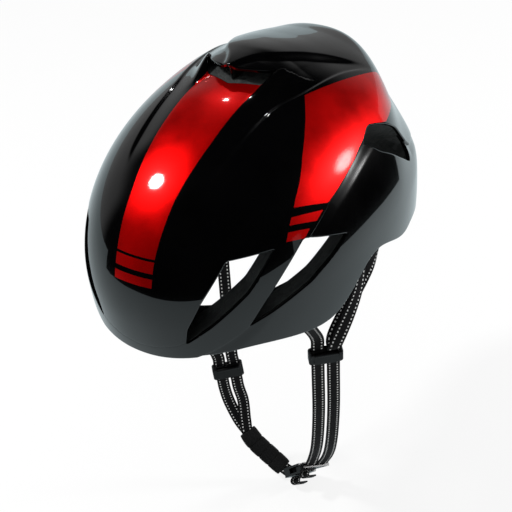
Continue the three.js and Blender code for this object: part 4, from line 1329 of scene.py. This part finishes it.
for side_name in ("left", "right"):
    for node in ("anchor_front", "anchor_middle", "anchor_rear", "pivot_socket", "fit_arm"):
        dress(f"{node}_{side_name}", NYLON, FINE)
    dress(f"divider_{side_name}", NYLON, WIDE)
    dress(f"divider_cam_{side_name}", NYLON, SMALL)
for node in ("height_rail", "dial_housing", "housing_cover", "height_tongue", "dial_pinion"):
    dress(node, NYLON, MIDDLE)
for node in ("buckle_female", "buckle_male", "release_prong_front", "release_prong_rear"):
    dress(node, ACETAL, MIDDLE)
dress("dial_knob", RUBBER, WIDE)


# ---- floor, light and dark cards
FLOOR_Z = float(cad_box[0][2]) - 0.002
FLOOR_HALF, FLOOR_GLOW = 9.0, 0.8
MIRRORED_FLOOR = (0.5, 0.61, 0.64, 1)
WHITE_WALL = {"azimuth": -134.5, "half": 60.0, "top": 24.0, "soft": 0.12, "over": 0.18, "strength": 0.3}
AMBIENT = 0.55
AIM = Vector((0, 0, -0.01))


def floor_material():
    """Diffuse for light and shadow, and plainly pale for the camera and for reflections."""
    material, nodes, links, shader = new_material("floor")
    calc = partial(math_node, nodes, links)
    set_sockets(shader, Base_Color=(0.92, 0.92, 0.92, 1), Roughness=0.9, Specular_IOR_Level=0.0)
    glow = nodes.new("ShaderNodeEmission")
    path = nodes.new("ShaderNodeLightPath").outputs
    tint = colour_mix(nodes, links, path["Is Camera Ray"], grey(1))
    tint.inputs["A"].default_value = MIRRORED_FLOOR
    links.new(tint.outputs["Result"], glow.inputs["Color"])
    seen = calc("MAXIMUM", path["Is Camera Ray"], path["Is Glossy Ray"])
    seen = calc("MAXIMUM", seen, path["Is Transmission Ray"])
    mix = nodes.new("ShaderNodeMixShader")
    links.new(calc("MULTIPLY", seen, FLOOR_GLOW), mix.inputs["Fac"])
    links.new(shader.outputs[0], mix.inputs[1])
    links.new(glow.outputs[0], mix.inputs[2])
    links.new(mix.outputs[0], nodes["Material Output"].inputs["Surface"])
    return material


def make_floor():
    corners = ((-1, -1), (1, -1), (1, 1), (-1, 1))
    points = [(x * FLOOR_HALF, y * FLOOR_HALF, FLOOR_Z) for x, y in corners]
    obj = link("floor", raw_mesh("floor", points, [(0, 1, 2, 3)]))
    obj.data.materials.append(floor_material())


def dark_card(name, from_azimuth, to_azimuth, distance, height, parts=12):
    """A curved black card standing on the floor, seen only in reflections."""
    points, faces = [], []
    for k in range(parts + 1):
        a = math.radians(from_azimuth + (to_azimuth - from_azimuth) * k / parts)
        x, y = math.sin(a) * distance, -math.cos(a) * distance
        points += [(x, y, FLOOR_Z), (x, y, FLOOR_Z + height)]
        if k:
            faces.append((2 * k - 2, 2 * k, 2 * k + 1, 2 * k - 1))
    obj = link(name, raw_mesh(name, points, faces))
    material, _, _, shader = new_material(name)
    set_sockets(shader, Base_Color=(0.001, 0.001, 0.001, 1), Specular_IOR_Level=0.0)
    obj.data.materials.append(material)
    obj.visible_camera = False
    obj.visible_diffuse = False
    obj.visible_shadow = False


def smooth_step(nodes, links, value, start, end):
    """0 up to start and 1 beyond end."""
    node = nodes.new("ShaderNodeMapRange")
    node.interpolation_type = "SMOOTHSTEP"
    links.new(value, node.inputs["Value"])
    set_sockets(node, From_Min=start, From_Max=end)
    return node.outputs[0]


def make_world():
    """White to the camera, an even light on surfaces, and one pale wall in reflections."""
    world = bpy.data.worlds.new("studio")
    bpy.context.scene.world = world
    world.use_nodes = True
    nodes, links = world.node_tree.nodes, world.node_tree.links
    nodes.clear()
    calc = partial(math_node, nodes, links)
    x, y, z = split_xyz(nodes, links, nodes.new("ShaderNodeTexCoord").outputs["Generated"])
    level = calc("SQRT", calc("MULTIPLY_ADD", x, x, calc("MULTIPLY", y, y)))
    middle = math.radians(WHITE_WALL["azimuth"])
    dot = calc("MULTIPLY_ADD", x, math.sin(middle), calc("MULTIPLY", y, -math.cos(middle)))
    facing = calc("DIVIDE", dot, calc("MAXIMUM", level, 0.001))
    edge = math.cos(math.radians(WHITE_WALL["half"]))
    top = math.sin(math.radians(WHITE_WALL["top"]))
    wall = smooth_step(nodes, links, facing, edge - WHITE_WALL["soft"], edge + WHITE_WALL["soft"])
    low = smooth_step(nodes, links, z, top + WHITE_WALL["over"], top - WHITE_WALL["soft"])
    glossy = calc("MULTIPLY", calc("MULTIPLY", wall, low), WHITE_WALL["strength"])
    path = nodes.new("ShaderNodeLightPath").outputs
    shown = calc("MULTIPLY", path["Is Glossy Ray"], glossy)
    shown = calc("MAXIMUM", shown, path["Is Camera Ray"])
    shown = calc("MAXIMUM", shown, path["Is Transmission Ray"])
    strength = calc("MAXIMUM", shown, calc("MULTIPLY", path["Is Diffuse Ray"], AMBIENT))
    background = nodes.new("ShaderNodeBackground")
    set_sockets(background, Color=grey(1))
    links.new(strength, background.inputs["Strength"])
    output = nodes.new("ShaderNodeOutputWorld")
    links.new(background.outputs[0], output.inputs["Surface"])


def softbox(name, azimuth, elevation, distance, size, power):
    """A round lamp aimed at the helmet."""
    data = bpy.data.lights.new(name, "AREA")
    data.shape = "DISK"
    data.size = size
    data.energy = power
    lamp = bpy.data.objects.new(name, data)
    bpy.context.scene.collection.objects.link(lamp)
    a, e = math.radians(azimuth), math.radians(elevation)
    way = Vector((math.sin(a) * math.cos(e), -math.cos(a) * math.cos(e), math.sin(e)))
    lamp.location = AIM + way * distance
    lamp.rotation_euler = way.to_track_quat("Z", "Y").to_euler()
    lamp.visible_camera = False


make_floor()
dark_card("card_side", 92, 152, distance=0.62, height=0.9)
dark_card("card_front", -58, 92, distance=1.5, height=1.2)
make_world()
softbox("lamp_left", -62, 51, distance=1.6, size=0.24, power=16)
softbox("lamp_right", 128, 7, distance=1.6, size=0.24, power=14)
softbox("lamp_small", -143, 44, distance=1.8, size=0.07, power=1.5)

bpy.context.scene.view_settings.view_transform = "Standard"
